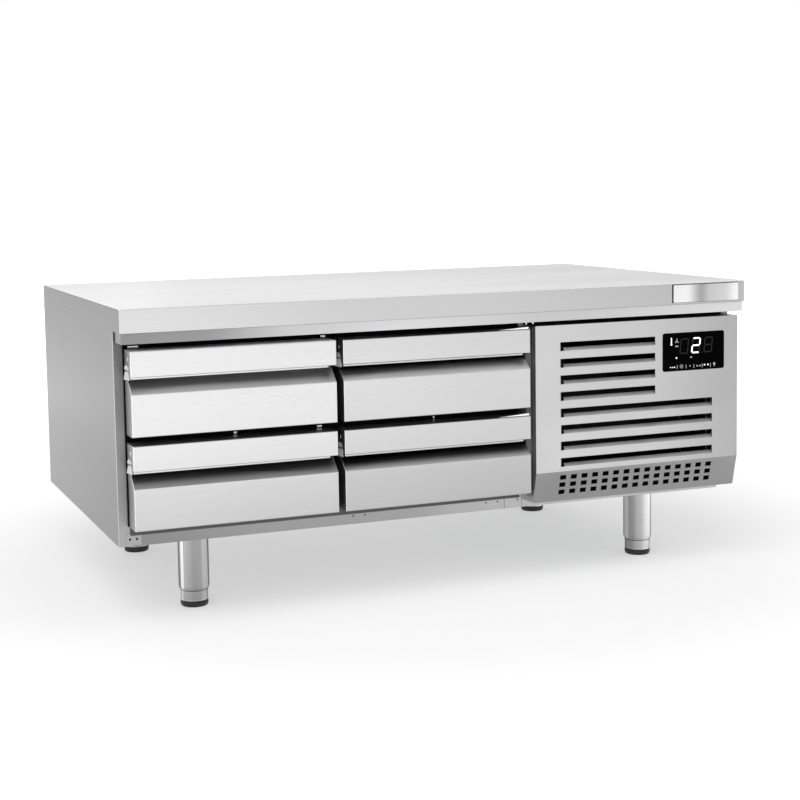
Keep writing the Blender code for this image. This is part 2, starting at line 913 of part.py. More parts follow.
# Condensing unit on the tray: condenser, shroud, motor, fan, compressor and pipe
condenser_left = 0.045
condenser_right = 0.057
condenser_front = 0.012
condenser_depth = 0.044
condenser_height = 0.250
condenser_fins = 26
fin_thickness = 0.0040
coil_core = 0.020
shroud_depth = 0.030
shroud_sheet = 0.002
orifice_share = 0.424
fan_tip_gap = 0.006
fan_depth = 0.026
hub_radius = 0.022
shaft_radius = 0.004
shaft_gap = 0.0003
fan_setback = 0.004
motor_radius = 0.035
motor_length = 0.042
motor_steps = 20
strap_width = 0.024
strap_thickness = 0.003
strap_land = 0.014
unit_floor = body_bottom + tray_sheet + fit
condenser_x = (
    partition_right + condenser_left,
    right - side_thickness - condenser_right,
)
condenser_y = (
    frame_back + condenser_front,
    frame_back + condenser_front + condenser_depth,
)
shroud_y = (condenser_y[1] + fit, condenser_y[1] + fit + shroud_depth)
orifice_radius = min(condenser_x[1] - condenser_x[0], condenser_height) * orifice_share
fan_radius = orifice_radius - fan_tip_gap
fan_x = (condenser_x[0] + condenser_x[1]) / 2
fan_y = shroud_y[1] - fan_setback
fan_z = unit_floor + condenser_height / 2
motor_y = (fan_y + fan_depth / 2 + fit, fan_y + fan_depth / 2 + fit + motor_length)


def condenser_and_shroud():
    """The condenser, and behind it the shroud with a strap across the back for the motor."""
    zs = (unit_floor, unit_floor + condenser_height)
    finned(
        "condenser", condenser_x, condenser_y, zs, condenser_fins, fin_thickness, coil_core
    )
    item = node("fan_shroud", block(condenser_x, shroud_y, zs), galvanised)
    hollow = block(
        (condenser_x[0] + shroud_sheet, condenser_x[1] - shroud_sheet),
        (shroud_y[0] - overrun, shroud_y[1] - shroud_sheet),
        (zs[0] + shroud_sheet, zs[1] - shroud_sheet),
    )
    combine(item, "DIFFERENCE", "hollow", hollow)
    hole = [
        (0, overrun + shroud_sheet),
        (orifice_radius, overrun + shroud_sheet),
        (orifice_radius, -overrun),
        (0, -overrun),
    ]
    orifice = turned(hole, (fan_x, shroud_y[1], fan_z), "Y", 2 * hub_steps)
    combine(item, "DIFFERENCE", "orifice", orifice)
    # A hat-shaped strap, open towards the shroud.
    reach = (fan_x - orifice_radius - strap_land, fan_x + orifice_radius + strap_land)
    ys = (shroud_y[1] - join, motor_y[1] + fit, motor_y[1] + fit + strap_thickness)
    hat = [
        (reach[0], ys[0]),
        (reach[0] + strap_thickness, ys[0]),
        (reach[0] + strap_thickness, ys[1]),
        (reach[1] - strap_thickness, ys[1]),
        (reach[1] - strap_thickness, ys[0]),
        (reach[1], ys[0]),
        (reach[1], ys[2]),
        (reach[0], ys[2]),
    ]
    strap = prism(hat, fan_z - strap_width / 2, fan_z + strap_width / 2, "Z")
    combine(item, "UNION", "strap", strap)


def condenser_motor_and_fan():
    """The motor on the strap, and the fan on its shaft."""
    shaft_length = motor_y[0] - fan_y + fan_depth / 2
    profile = [
        (0, -motor_length),
        (motor_radius, -motor_length),
        (motor_radius, 0),
        (shaft_radius, 0),
        (shaft_radius, shaft_length),
        (0, shaft_length),
    ]
    shape = turned(profile, (fan_x, motor_y[0], fan_z), "Y", motor_steps)
    smooth(node("fan_motor", shape, black_paint))
    centre = (fan_x, fan_y, fan_z)
    bore = shaft_radius + shaft_gap
    fan("condenser_fan", centre, fan_radius, hub_radius, bore, fan_depth, black_plastic)


compressor_radius = 0.082
compressor_height = 0.185
compressor_right = 0.045
compressor_back = 0.150
compressor_foot_length = 0.190
compressor_foot_width = 0.060
compressor_foot_thickness = 0.004
terminal_width = 0.060
terminal_depth = 0.030
terminal_height = 0.060
compressor_steps = 24
compressor_radius_shares = (0, 0.82, 0.96, 1.00, 1.00, 1.04, 1.04, 1.00, 0.97, 0.80, 0.45, 0)
compressor_height_shares = (0, 0, 0.06, 0.16, 0.44, 0.45, 0.49, 0.50, 0.74, 0.91, 0.98, 1.00)
compressor_x = right - side_thickness - compressor_right - compressor_radius
compressor_y = back_inside - compressor_back


def compressor():
    """The hermetic compressor: two drawn shells welded at a flange, on a foot plate."""
    base = unit_floor + compressor_foot_thickness - join
    shares = zip(compressor_radius_shares, compressor_height_shares)
    profile = [(radius * compressor_radius, rise * compressor_height) for radius, rise in shares]
    centre = (compressor_x, compressor_y, base)
    shape = turned(profile, centre, "Z", compressor_steps)
    item = node("compressor", shape, black_paint)
    smooth(item)
    foot = block(
        (compressor_x - compressor_foot_length / 2, compressor_x + compressor_foot_length / 2),
        (compressor_y - compressor_foot_width / 2, compressor_y + compressor_foot_width / 2),
        (unit_floor, unit_floor + compressor_foot_thickness),
    )
    combine(item, "UNION", "foot", foot)
    reach = compressor_y - compressor_radius
    middle = base + compressor_height / 2
    terminal = block(
        (compressor_x - terminal_width / 2, compressor_x + terminal_width / 2),
        (reach - terminal_depth, compressor_y),
        (middle - terminal_height / 2, middle + terminal_height / 2),
    )
    combine(item, "UNION", "terminal_cover", terminal)


# Pipe from the compressor's dome to the top of the condenser's end
pipe_radius = 0.004
pipe_rise = 0.060
pipe_bend = 0.012
pipe_bend_steps = 4
pipe_clear = 0.030
pipe_drop = 0.030


def route(corners, radius, steps):
    """Points along a route whose corners are rounded by arcs."""
    spots = [Vector(corner) for corner in corners]
    points = spots[:1]
    for before, corner, after in zip(spots, spots[1:], spots[2:]):
        points += bend(before, corner, after, radius, steps)
    return points + spots[-1:]


def discharge_pipe():
    """A round pipe, as a curve with filled ends."""
    dome = unit_floor + compressor_foot_thickness - join + compressor_height
    condenser_top = unit_floor + condenser_height
    x = condenser_x[1] + pipe_clear
    y = (condenser_y[0] + condenser_y[1]) / 2
    corners = [
        (compressor_x, compressor_y, dome + fit),
        (compressor_x, compressor_y, dome + pipe_rise),
        (x, compressor_y, dome + pipe_rise),
        (x, y, dome + pipe_rise),
        (x, y, condenser_top - pipe_drop),
        (condenser_x[1] + fit, y, condenser_top - pipe_drop),
    ]
    points = route(corners, pipe_bend, pipe_bend_steps)
    curve = bpy.data.curves.new("discharge_pipe", "CURVE")
    curve.dimensions = "3D"
    curve.bevel_depth = pipe_radius
    curve.bevel_resolution = 2
    curve.use_fill_caps = True
    spline = curve.splines.new("POLY")
    spline.points.add(len(points) - 1)
    for spot, point in zip(spline.points, points):
        spot.co = (*point, 1)
    curve.materials.append(copper)
    made = bpy.data.objects.new("discharge_pipe", curve)
    bpy.context.scene.collection.objects.link(made)


electric_width = 0.060
electric_depth = 0.120
electric_height = 0.140
electric_back = 0.030
electric_drop = 0.030


def electrical_box():
    """The closed box for the terminals, on the partition's machine side."""
    xs = (partition_right + fit, partition_right + fit + electric_width)
    ys = (back_inside - electric_back - electric_depth, back_inside - electric_back)
    top = body_top - electric_drop
    soften(node("electrical_box", block(xs, ys, (top - electric_height, top)), black_plastic))


# Evaporator on the store's back wall: coil, cover and fan
evaporator_width = 0.360
evaporator_lift = 0.030
evaporator_drop = 0.046
evaporator_fins = 24
evaporator_height = store_ceiling - store_floor - evaporator_lift - evaporator_drop
cover_sheet = 0.0015
cover_orifice_share = 0.39
cover_orifice = min(evaporator_width, evaporator_height) * cover_orifice_share
cover_fan_radius = cover_orifice - fan_tip_gap
cover_fan_depth = 0.018
cover_fan_setback = 0.003
cover_hub_radius = 0.018
cover_motor_radius = 0.024
cover_arm = 0.010
cover_arm_thickness = 0.003


def evaporator():
    """The coil against the back wall, its cover, and the fan in the cover's opening."""
    xs = (divider_middle - evaporator_width / 2, divider_middle + evaporator_width / 2)
    low = store_floor + evaporator_lift
    zs = (low, low + evaporator_height)
    coil_y = (back_inside - evaporator_depth, back_inside - fit)
    finned("evaporator", xs, coil_y, zs, evaporator_fins, fin_thickness, coil_core)
    cover_y = (store_back, store_back + cover_depth)
    item = node("evaporator_cover", block(xs, cover_y, zs), stainless)
    hollow = block(
        (xs[0] + cover_sheet, xs[1] - cover_sheet),
        (cover_y[0] + cover_sheet, cover_y[1] + overrun),
        (zs[0] + cover_sheet, zs[1] - cover_sheet),
    )
    combine(item, "DIFFERENCE", "hollow", hollow)
    centre_z = (zs[0] + zs[1]) / 2
    hole = [
        (0, overrun),
        (cover_orifice, overrun),
        (cover_orifice, -overrun),
        (0, -overrun),
    ]
    orifice = turned(hole, (divider_middle, cover_y[0], centre_z), "Y", 2 * hub_steps)
    combine(item, "DIFFERENCE", "orifice", orifice)
    # An arm across the inside carries the motor, whose shaft points forward.
    arm = block(
        (xs[0] + join, xs[1] - join),
        (cover_y[1] - cover_arm_thickness, cover_y[1]),
        (centre_z - cover_arm / 2, centre_z + cover_arm / 2),
    )
    combine(item, "UNION", "arm", arm)
    fan_middle = cover_y[0] + cover_fan_setback + cover_fan_depth / 2
    motor_front = fan_middle + cover_fan_depth / 2 + fit
    seat = cover_y[1] - cover_arm_thickness + join
    profile = [
        (0, motor_front - seat),
        (cover_motor_radius, motor_front - seat),
        (cover_motor_radius, 0),
        (shaft_radius, 0),
        (shaft_radius, cover_fan_depth),
        (0, cover_fan_depth),
    ]
    shape = turned(profile, (divider_middle, motor_front, centre_z), "Y", motor_steps)
    combine(item, "UNION", "motor", shape)
    centre = (divider_middle, fan_middle, centre_z)
    bore = shaft_radius + shaft_gap
    fan(
        "evaporator_fan",
        centre,
        cover_fan_radius,
        cover_hub_radius,
        bore,
        cover_fan_depth,
        black_plastic,
    )


worktop()
nose_strip()
side_panels()
back_panel()
front_frames()
store_walls()
unit_tray()
machine_panel()
controller()
runner_racks()
drawer_set()
legs()
condenser_and_shroud()
condenser_motor_and_fan()
compressor()
discharge_pipe()
electrical_box()
evaporator()
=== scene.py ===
"""Looks of the refrigerated chef base: finishes, folded edges, fittings and display round the frame.

Metres, in the frame's own axes: +X along the front, +Y to the back, +Z up.
"""

from math import cos, pi, radians, sin

import bmesh
import bpy
from mathutils import Matrix, Vector


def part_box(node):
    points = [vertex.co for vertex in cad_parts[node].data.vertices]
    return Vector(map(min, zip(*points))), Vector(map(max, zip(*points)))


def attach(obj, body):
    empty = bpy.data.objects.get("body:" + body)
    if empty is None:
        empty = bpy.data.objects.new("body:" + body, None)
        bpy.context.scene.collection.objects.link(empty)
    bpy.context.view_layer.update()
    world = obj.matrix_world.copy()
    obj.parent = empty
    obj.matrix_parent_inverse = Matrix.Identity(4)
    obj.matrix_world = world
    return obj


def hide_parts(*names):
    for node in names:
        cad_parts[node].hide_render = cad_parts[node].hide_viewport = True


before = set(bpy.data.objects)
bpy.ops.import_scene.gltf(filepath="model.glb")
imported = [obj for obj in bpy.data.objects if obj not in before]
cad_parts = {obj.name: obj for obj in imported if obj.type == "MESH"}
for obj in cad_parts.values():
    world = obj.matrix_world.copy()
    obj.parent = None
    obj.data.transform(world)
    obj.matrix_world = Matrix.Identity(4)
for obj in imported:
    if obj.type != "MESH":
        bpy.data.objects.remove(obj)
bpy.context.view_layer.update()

scene = bpy.context.scene
for leftover in ("Cube", "Light", "Camera"):
    if leftover in bpy.data.objects:
        bpy.data.objects.remove(bpy.data.objects[leftover])

drawer_numbers = (1, 2, 3, 4)
crease = radians(32)
# Places this close count as one, and a corner this near to a box's side lies on it.
same_place, near = 1e-5, 0.0001
# How much of a face's normal points along an axis when it slants to it, faces it or lies square to it
slanting, facing, square = 0.3, 0.7, 0.97


# Camera and studio
camera_place = (-1.1481, -2.8701, 0.7471)
camera_yaw, camera_pitch, camera_roll = radians(20.995), radians(5.539), radians(-1.035)
camera_lens, camera_shift, sensor_width = 71.0, (0.05, -0.0875), 36
wall_top, ceiling_start, ceiling_tone = 0.32, 0.8, 0.36
room_light = 0.42
floor_radius, near_floor, far_floor = 14, 0.7, 2.9
near_glow, far_glow = 0.42, 1.0
# Each softbox has a place, a point that it faces, a width and a power.
softboxes = {
    "lamp_back": ((-1.5, 4.8, 4.4), (0, -0.3, 0.2), 7.5, 50),
    "lamp_left": ((-2.8, -3.4, 5.0), (-0.2, -0.8, 0.1), 6.0, 220),
    "lamp_right": ((3.4, -1.8, 4.8), (0.4, -0.3, 0.0), 4.5, 55),
}


white = (1, 1, 1, 1)


def grey(tone, blue=0.0):
    """A neutral colour, or one with a little more blue."""
    return tone, tone, tone + blue


def placed(name, data):
    """An object of the scene with its mesh, curve, lamp or camera."""
    made = bpy.data.objects.new(name, data)
    scene.collection.objects.link(made)
    return made


def mesh_of(name, shape):
    """A finished shape as a mesh."""
    mesh = bpy.data.meshes.new(name)
    shape.to_mesh(mesh)
    shape.free()
    return mesh


def wired(tree, node, sources, **settings):
    """A node, new if its kind is given, with its settings and what feeds its sockets or is set on them."""
    node = tree.nodes.new(node) if isinstance(node, str) else node
    for name, value in settings.items():
        setattr(node, name, value)
    for socket, source in sources.items():
        if isinstance(source, bpy.types.NodeSocket):
            tree.links.new(source, node.inputs[socket])
        else:
            node.inputs[socket].default_value = source
    return node


def spread(tree, value, low, high, start=0.3, end=0.7):
    """A texture's value brought into a range."""
    limits = {"From Min": start, "From Max": end, "To Min": low, "To Max": high}
    return wired(tree, "ShaderNodeMapRange", {"Value": value, **limits}).outputs["Result"]


def arithmetic(tree, operation, first, second):
    """Two values, or a value and a number, brought together."""
    return wired(tree, "ShaderNodeMath", {0: first, 1: second}, operation=operation).outputs[0]


def place_on(tree, axis=None):
    """The object's own coordinates, or the one along an axis."""
    place = tree.nodes.new("ShaderNodeTexCoord").outputs["Object"]
    return wired(tree, "ShaderNodeSeparateXYZ", {0: place}).outputs[axis] if axis else place


def seen_directly(tree):
    """1 for rays from the camera or off gloss and glass, 0 for the light on matt faces."""
    rays = tree.nodes.new("ShaderNodeLightPath").outputs
    glossy = arithmetic(tree, "MAXIMUM", rays["Is Camera Ray"], rays["Is Glossy Ray"])
    return arithmetic(tree, "MAXIMUM", glossy, rays["Is Transmission Ray"])


def place_camera():
    """The camera at the photograph's viewing angle."""
    view = bpy.data.cameras.new("camera")
    view.sensor_width, view.lens = sensor_width, camera_lens
    view.shift_x, view.shift_y = camera_shift
    scene.camera = placed("camera", view)
    scene.camera.matrix_world = (
        Matrix.Translation(camera_place)
        @ Matrix.Rotation(-camera_yaw, 4, "Z")
        @ Matrix.Rotation(pi / 2 - camera_pitch, 4, "X")
        @ Matrix.Rotation(camera_roll, 4, "Z")
    )


def soft_lamp(name, place, aim, width, power):
    """A square softbox turned towards a point."""
    light = bpy.data.lights.new(name, "AREA")
    light.size, light.energy = width, power
    made = placed(name, light)
    made.location = place
    made.rotation_euler = (Vector(aim) - Vector(place)).to_track_quat("-Z", "Y").to_euler()


def studio():
    """White surroundings, a pale floor and three softboxes."""
    world = bpy.data.worlds.new("studio")
    scene.world = world
    world.use_nodes = True
    tree = world.node_tree
    # The walls are white, and the ceiling over the lamps is a soft grey.
    around = tree.nodes.new("ShaderNodeTexCoord").outputs["Generated"]
    height = wired(tree, "ShaderNodeSeparateXYZ", {0: around}).outputs["Z"]
    walls = spread(tree, height, 1.0, ceiling_tone, wall_top, ceiling_start)
    seen = arithmetic(tree, "MULTIPLY", seen_directly(tree), walls)
    unseen = arithmetic(tree, "SUBTRACT", seen_directly(tree), 1.0)
    strength = arithmetic(tree, "ADD", seen, arithmetic(tree, "MULTIPLY", unseen, -room_light))
    wired(tree, tree.nodes["Background"], {"Color": white, "Strength": strength})

    shape = bmesh.new()
    bmesh.ops.create_circle(shape, cap_ends=True, segments=96, radius=floor_radius)
    floor = placed("floor", mesh_of("floor", shape))
    matt, tree, shader = new_finish("pale_floor", grey(0.62), 0.9, {"Specular IOR Level": 0.1})
    # The floor turns into the white backdrop with distance.
    distance = wired(tree, "ShaderNodeVectorMath", {0: place_on(tree)}, operation="LENGTH").outputs["Value"]
    backdrop = spread(tree, distance, near_glow, far_glow, near_floor, far_floor)
    glow = arithmetic(tree, "MULTIPLY", seen_directly(tree), backdrop)
    wired(tree, shader, {"Emission Color": white, "Emission Strength": glow})
    floor.data.materials.append(matt)

    for name, settings in softboxes.items():
        soft_lamp(name, *settings)


# Finishes
def new_finish(name, colour, roughness, settings):
    """A material with its node tree and shader, to which the grain is added."""
    made = bpy.data.materials.new(name)
    made.use_nodes = True
    tree = made.node_tree
    basics = {"Base Color": (*colour, 1), "Roughness": roughness}
    return made, tree, wired(tree, tree.nodes["Principled BSDF"], {**basics, **settings})


def pattern(tree, stretch, kind="ShaderNodeTexNoise", detail=2.0, output="Fac"):
    """A texture on the object's own coordinates, stretched along its axes."""
    mapped = wired(tree, "ShaderNodeMapping", {"Vector": place_on(tree), "Scale": stretch}).outputs["Vector"]
    return wired(tree, kind, {"Vector": mapped, "Scale": 1.0, "Detail": detail}).outputs[output]


def painted_light_ramp(tree, axis, *stops):
    """Painted light and shade: a tone that changes smoothly from place to place along an axis."""
    start, end, brightest = stops[0][0], stops[-1][0], max(tone for _, tone in stops)
    ramp = wired(tree, "ShaderNodeValToRGB", {"Fac": spread(tree, place_on(tree, axis), 0, 1, start, end)})
    ramp.color_ramp.interpolation = "EASE"
    for spot, _ in stops[1:-1]:
        ramp.color_ramp.elements.new((spot - start) / (end - start))
    for element, (_, tone) in zip(ramp.color_ramp.elements, stops):
        element.color = (*grey(tone / brightest), 1)
    return arithmetic(tree, "MULTIPLY", ramp.outputs["Color"], brightest)


def grained(tree, shader, colour, tone, dull, height, strength, distance=0.0002):
    """The shader's colour scaled by a tone, its roughness from a value and its bump from another."""
    scaled = wired(
        tree, "ShaderNodeMix", {"Factor": 1.0, "A": (*colour, 1), "B": tone}, data_type="RGBA",
        blend_type="MULTIPLY",
    ).outputs["Result"]
    bump = wired(tree, "ShaderNodeBump", {"Strength": strength, "Distance": distance, "Height": height})
    wired(tree, shader, {"Base Color": scaled, "Roughness": dull, "Normal": bump.outputs["Normal"]})


def brushed(name, colour, roughness, lines, depth=0.03, *painted_light_falls, edge_tone=1.0):
    """Brushed steel: fine lines along one axis, and soft clouds from handling.

    Each fall is painted light and shade: a slow change of tone along an axis, given as places on it, each
    with its tone.
    """
    settings = {"Metallic": 1.0, "Specular Tint": (*grey(edge_tone), 1)}
    made, tree, shader = new_finish(name, colour, roughness, settings)
    grain = pattern(tree, lines, detail=3.0)
    long, short = 1.6, 6.0
    clouds = pattern(tree, tuple(long if number < 10 else short for number in lines))
    tone = arithmetic(tree, "MULTIPLY", spread(tree, grain, 0.98, 1.015), spread(tree, clouds, 0.975, 1.02))
    for fall in painted_light_falls:
        tone = arithmetic(tree, "MULTIPLY", tone, painted_light_ramp(tree, *fall))
    worn = spread(tree, grain, roughness - 0.03, roughness + 0.04)
    dull = arithmetic(tree, "ADD", worn, spread(tree, clouds, -0.03, 0.03))
    grained(tree, shader, colour, tone, dull, grain, depth, 0.0003)
    return made


def spangled(name, colour, roughness):
    """Galvanised sheet with its crystal flowers."""
    made, tree, shader = new_finish(name, colour, roughness, {"Metallic": 1.0})
    flowers = pattern(tree, (90, 90, 90), "ShaderNodeTexVoronoi", output="Color")
    fine = pattern(tree, (400, 400, 400))
    flower_tone = spread(tree, flowers, 0.86, 1.08, 0, 1)
    tone = arithmetic(tree, "MULTIPLY", flower_tone, spread(tree, fine, 0.96, 1.03))
    dull = spread(tree, flowers, roughness - 0.08, roughness + 0.08, 0, 1)
    grained(tree, shader, colour, tone, dull, fine, 0.05)
    return made


def moulded(name, colour, roughness, grain=900, depth=0.15, metallic=0.0, gloss=0.5):
    """A fine-grained matt surface: plastic, rubber or paint."""
    settings = {"Metallic": metallic, "Specular IOR Level": gloss}
    made, tree, shader = new_finish(name, colour, roughness, settings)
    fine = pattern(tree, (grain, grain, grain))
    clouds = pattern(tree, (14, 14, 14), detail=3.0)
    worn = spread(tree, fine, roughness - 0.05, roughness + 0.05)
    dull = arithmetic(tree, "ADD", worn, spread(tree, clouds, -0.04, 0.04))
    grained(tree, shader, colour, spread(tree, clouds, 0.85, 1.15), dull, fine, depth)
    return made


def lit(name, colour, strength):
    """A lit sign of the display, with the faint unevenness of its diffuser."""
    made, tree, shader = new_finish(name, colour, 0.4, {"Specular IOR Level": 0.05})
    glow = spread(tree, pattern(tree, (300, 300, 300), detail=1.0), strength * 0.94, strength)
    wired(tree, shader, {"Emission Color": (*colour, 1), "Emission Strength": glow})
    return made


# Brush lines to a metre on each axis: along the front, finer along it, to the back, and round a tube
front_lines, fine_lines = (5, 300, 300), (6, 500, 500)
depth_lines, tube_lines = (400, 6, 400), (60, 60, 900)
soft_grain, tube_grain, tube_edge = 0.015, 0.02, 0.3

# Painted light: the drawer fronts are lighter to the left and darker towards the bottom.
steel_front = brushed(
    "brushed_steel_front", grey(0.57), 0.3, front_lines, soft_grain,
    ("X", (-0.58, 1.18), (-0.24, 1.12), (-0.2, 1.00), (0.15, 0.91)),
    ("Z", (0.155, 0.87), (0.225, 0.9), (0.262, 1.0), (0.33, 1.02)),
)
# Painted light: the machine panel is lighter to the left and near its bottom, and darkens sharply at its
# right edge.
steel_panel = brushed(
    "brushed_steel_panel", grey(0.45), 0.32, front_lines, soft_grain,
    ("X", (0.16, 1.15), (0.36, 1.06), (0.5855, 0.82), (0.588, 0.4)),
    ("Z", (0.205, 1.13), (0.26, 1.08), (0.34, 1.0)),
)
# Painted reflection: the top is brightest left of its middle and darker to the right and towards the back.
steel_top = brushed(
    "brushed_steel_top", grey(0.74), 0.22, (5, 260, 260), 0.006,
    ("X", (-0.6, 0.86), (-0.2, 0.97), (0.6, 0.73)),
    ("Y", (-0.35, 1.0), (0.05, 0.98), (0.35, 0.86)),
)
# Painted reflection: the nose darkens from left to right.
steel_nose = brushed(
    "brushed_steel_nose", grey(0.53), 0.3, front_lines, soft_grain,
    ("X", (-0.6, 1.14), (-0.1, 0.96), (0.6, 0.79)),
)
# Painted shade: the strip under the nose is a dark steel, darkest at its left end and lighter to the right.
steel_strip = brushed(
    "brushed_steel_strip", grey(0.32, 0.005), 0.36, front_lines, soft_grain,
    ("X", (-0.6, 0.8), (-0.48, 0.86), (-0.28, 1.65), (-0.1, 1.85), (0.2, 1.55), (0.6, 1.85)),
)
# Painted shade: the sides take a darker steel than the fronts, lighter towards the bottom.
steel_side = brushed(
    "satin_steel_sides", grey(0.37, 0.002), 0.17, (700, 4, 700), 0.01,
    ("Z", (0.14, 1.22), (0.3, 0.98), (0.5, 0.76)), edge_tone=0.62,
)
# Painted shade: the narrow fronts that frame the drawers, and the rail's corner plate, are dark steel,
# darkest at the top under the worktop.
steel_frame = brushed(
    "shaded_steel_frame", grey(0.27, 0.003), 0.4, fine_lines, 0.03,
    ("Z", (0.14, 1.48), (0.24, 1.12), (0.42, 0.8), (0.48, 0.62)),
)
# Painted highlight: a near-white steel on rounded edges and folds, so that they read as lit lines.
steel_highlight = brushed("highlight_folds", grey(0.92), 0.3, (4, 700, 700))
steel_end = brushed("dull_steel_ends", grey(0.56, 0.005), 0.34, depth_lines, soft_grain)
# Painted reflection: the rail and the frames are darker to the left and lighter to the right.
steel_rail = brushed(
    "brushed_steel_rail", grey(0.34), 0.36, (6, 300, 300), soft_grain,
    ("X", (-0.58, 0.79), (-0.3, 0.99), (-0.08, 1.05), (0.04, 1.28), (0.17, 1.4)),
)
steel_apron = brushed("shaded_steel_apron", grey(0.3), 0.36, fine_lines)

grip_bottom, grip_rises = 0.071, (0, 0.0133, 0.0213, 0.029)


def shaded_grip_finishes(number, underside, *tones):
    """A grip's finish with painted shade, its tones from its lower edge to its upper one, and its band's
    underside, painted lighter or darker for what the grip reflects.
    """
    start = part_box(f"drawer_front_{number}")[0].z + grip_bottom
    stops = tuple((start + rise, tone) for rise, tone in zip(grip_rises, tones))
    grip = brushed(f"painted_shade_grip_{number}", grey(0.5, 0.005), 0.42, (4, 300, 300), 0.02, ("Z", *stops))
    return grip, brushed(f"painted_shade_band_underside_{number}", grey(underside), 0.45, fine_lines)


# Painted shade, set drawer by drawer: the grips' tones up their height and their bands' undersides.
grip_shading = {
    1: shaded_grip_finishes(1, 0.75, 1.1, 0.85, 0.78, 1.9),
    2: shaded_grip_finishes(2, 0.45, 0.68, 0.37, 0.22, 0.36),
    3: shaded_grip_finishes(3, 0.04, 1.36, 1.3, 0.12, 0.05),
    4: shaded_grip_finishes(4, 0.04, 0.86, 0.16, 0.01, 0.06),
}
steel_shade = brushed("shaded_steel_gaps", grey(0.1, 0.002), 0.45, fine_lines)
steel_inside = brushed("bright_steel_inside", grey(0.6), 0.34, depth_lines, soft_grain)
steel_tube = brushed("turned_steel_tubes", grey(0.5), 0.2, tube_lines, tube_grain, edge_tone=tube_edge)
leg_radius, leg_x = 0.027, 0.45


def tube_with_painted_highlights(name, centre, *stripes):
    """Turned steel with painted highlights and shade: light and dark stripes along it, at shares of its
    radius, each with its tone.
    """
    stops = tuple((centre + share * leg_radius, tone) for share, tone in stripes)
    return brushed(name, grey(0.5), 0.2, tube_lines, tube_grain, ("X", *stops), edge_tone=tube_edge)


left_tubes = tube_with_painted_highlights(
    "turned_steel_left_legs_painted_highlights", -leg_x,
    (-1, 0.8), (-0.97, 0.9), (-0.93, 2.4), (-0.87, 2.3), (-0.8, 1), (-0.53, 0.82), (-0.25, 0.68),
    (0.16, 0.74), (0.5, 1.15), (0.7, 1.5), (0.84, 0.9), (0.92, 0.35), (1, 0.3),
)
right_tubes = tube_with_painted_highlights(
    "turned_steel_right_legs_painted_highlights", leg_x,
    (-1, 1.2), (-0.96, 1.1), (-0.9, 0.66), (-0.75, 0.6), (-0.515, 0.85), (-0.234, 1),
    (0.1, 1.5), (0.55, 2.1), (0.7, 1.3), (0.82, 0.6), (1, 0.5),
)
# Painted reflection: the plate is bright at its ends and darker in its middle; the clips and pins left of it
# take its left end's tone.
steel_plate = brushed(
    "polished_plate", grey(0.62), 0.14, (5, 900, 900), 0.02,
    ("X", (0.44, 1.05), (0.47, 1.1), (0.503, 0.5), (0.525, 0.74), (0.55, 0.8), (0.585, 1.18)),
)
dull_return = moulded("dull_folded_returns", grey(0.46, 0.01), 0.5, 500, 0.05, 0.3)
# Painted light: a pale, nearly matt finish that reads as lit, on the first drawer's top fold and on the end
# plates' lugs.
lit_top_return = moulded("folded_tops", grey(0.85, 0.03), 0.5, 500, 0.05, 0.2)
zinc = spangled("galvanised_sheet", (0.5, 0.51, 0.52), 0.42)
aluminium = brushed("rolled_aluminium", (0.72, 0.73, 0.74), 0.34, (500, 500, 8))
copper = brushed("drawn_copper", (0.72, 0.36, 0.22), 0.26, (300, 300, 300))
black_plastic = moulded("black_plastic", grey(0.014, 0.001), 0.42)
black_trim = moulded("black_trim", grey(0.003), 0.62, gloss=0.04)
grey_trim = moulded("grey_trim", grey(0.16), 0.6)
gasket_rubber = moulded("gasket_rubber", grey(0.02, 0.001), 0.6, 500, 0.2, gloss=0.15)
pad_rubber = moulded("pad_rubber", grey(0.016, 0.001), 0.5, 600, 0.25)
black_paint = moulded("black_paint", grey(0.016, 0.001), 0.34, 260, 0.1)
display_glass = moulded("display_glass", grey(0.0008, 0.0002), 0.16, 40, 0.01, gloss=0.012)
sign_white = lit("sign_white", grey(1.0), 1.0)
sign_dim = lit("sign_dim", grey(0.4, 0.01), 0.5)
# Painted light: the unlit digits are given a very faint glow.
sign_ghost = lit("sign_ghost", grey(0.026, 0.003), 0.08)


# Shapes
def piece(name, shape, finish, slot, *replaced, body="cabinet"):
    """A finished piece on its body, standing for the nodes that it replaces.

    With several finishes, each face carries the number of its own.
    """
    mesh = mesh_of(name, shape)
    made = placed(name, mesh)
    for one in finish if isinstance(finish, tuple) else (finish,):
        mesh.materials.append(one)
    mesh.shade_smooth()
    mesh.set_sharp_from_angle(angle=crease)
    flat = made.modifiers.new("flat_faces", "WEIGHTED_NORMAL")
    flat.keep_sharp = True
    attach(made, body)
    if replaced:
        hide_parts(*replaced)


def joined(*shapes):
    """Several shapes in one mesh."""
    whole = bmesh.new()
    for shape in shapes:
        mesh = mesh_of("shape", shape)
        whole.from_mesh(mesh)
        bpy.data.meshes.remove(mesh)
    return whole


def round_edges(shape, edges, radius, segments=3):
    """Edges rounded to a radius."""
    bmesh.ops.bevel(
        shape, geom=edges, offset=radius, segments=segments, profile=0.5, affect="EDGES", material=-1,
        clamp_overlap=True,
    )


def plate(xs, ys, zs, radius=0.0, segments=2):
    """A block between limits on each axis, with rounded edges."""
    shape = bmesh.new()
    bmesh.ops.create_cube(shape, size=1)
    bmesh.ops.scale(shape, vec=[high - low for low, high in (xs, ys, zs)], verts=shape.verts)
    bmesh.ops.translate(shape, vec=[(low + high) / 2 for low, high in (xs, ys, zs)], verts=shape.verts)
    if radius:
        round_edges(shape, shape.edges[:], radius, segments)
    return shape


def within(low, high, x=0.0, y=0.0, z=0.0):
    """A box's limits on each axis, drawn in by a margin."""
    return (low.x + x, high.x - x), (low.y + y, high.y - y), (low.z + z, high.z - z)


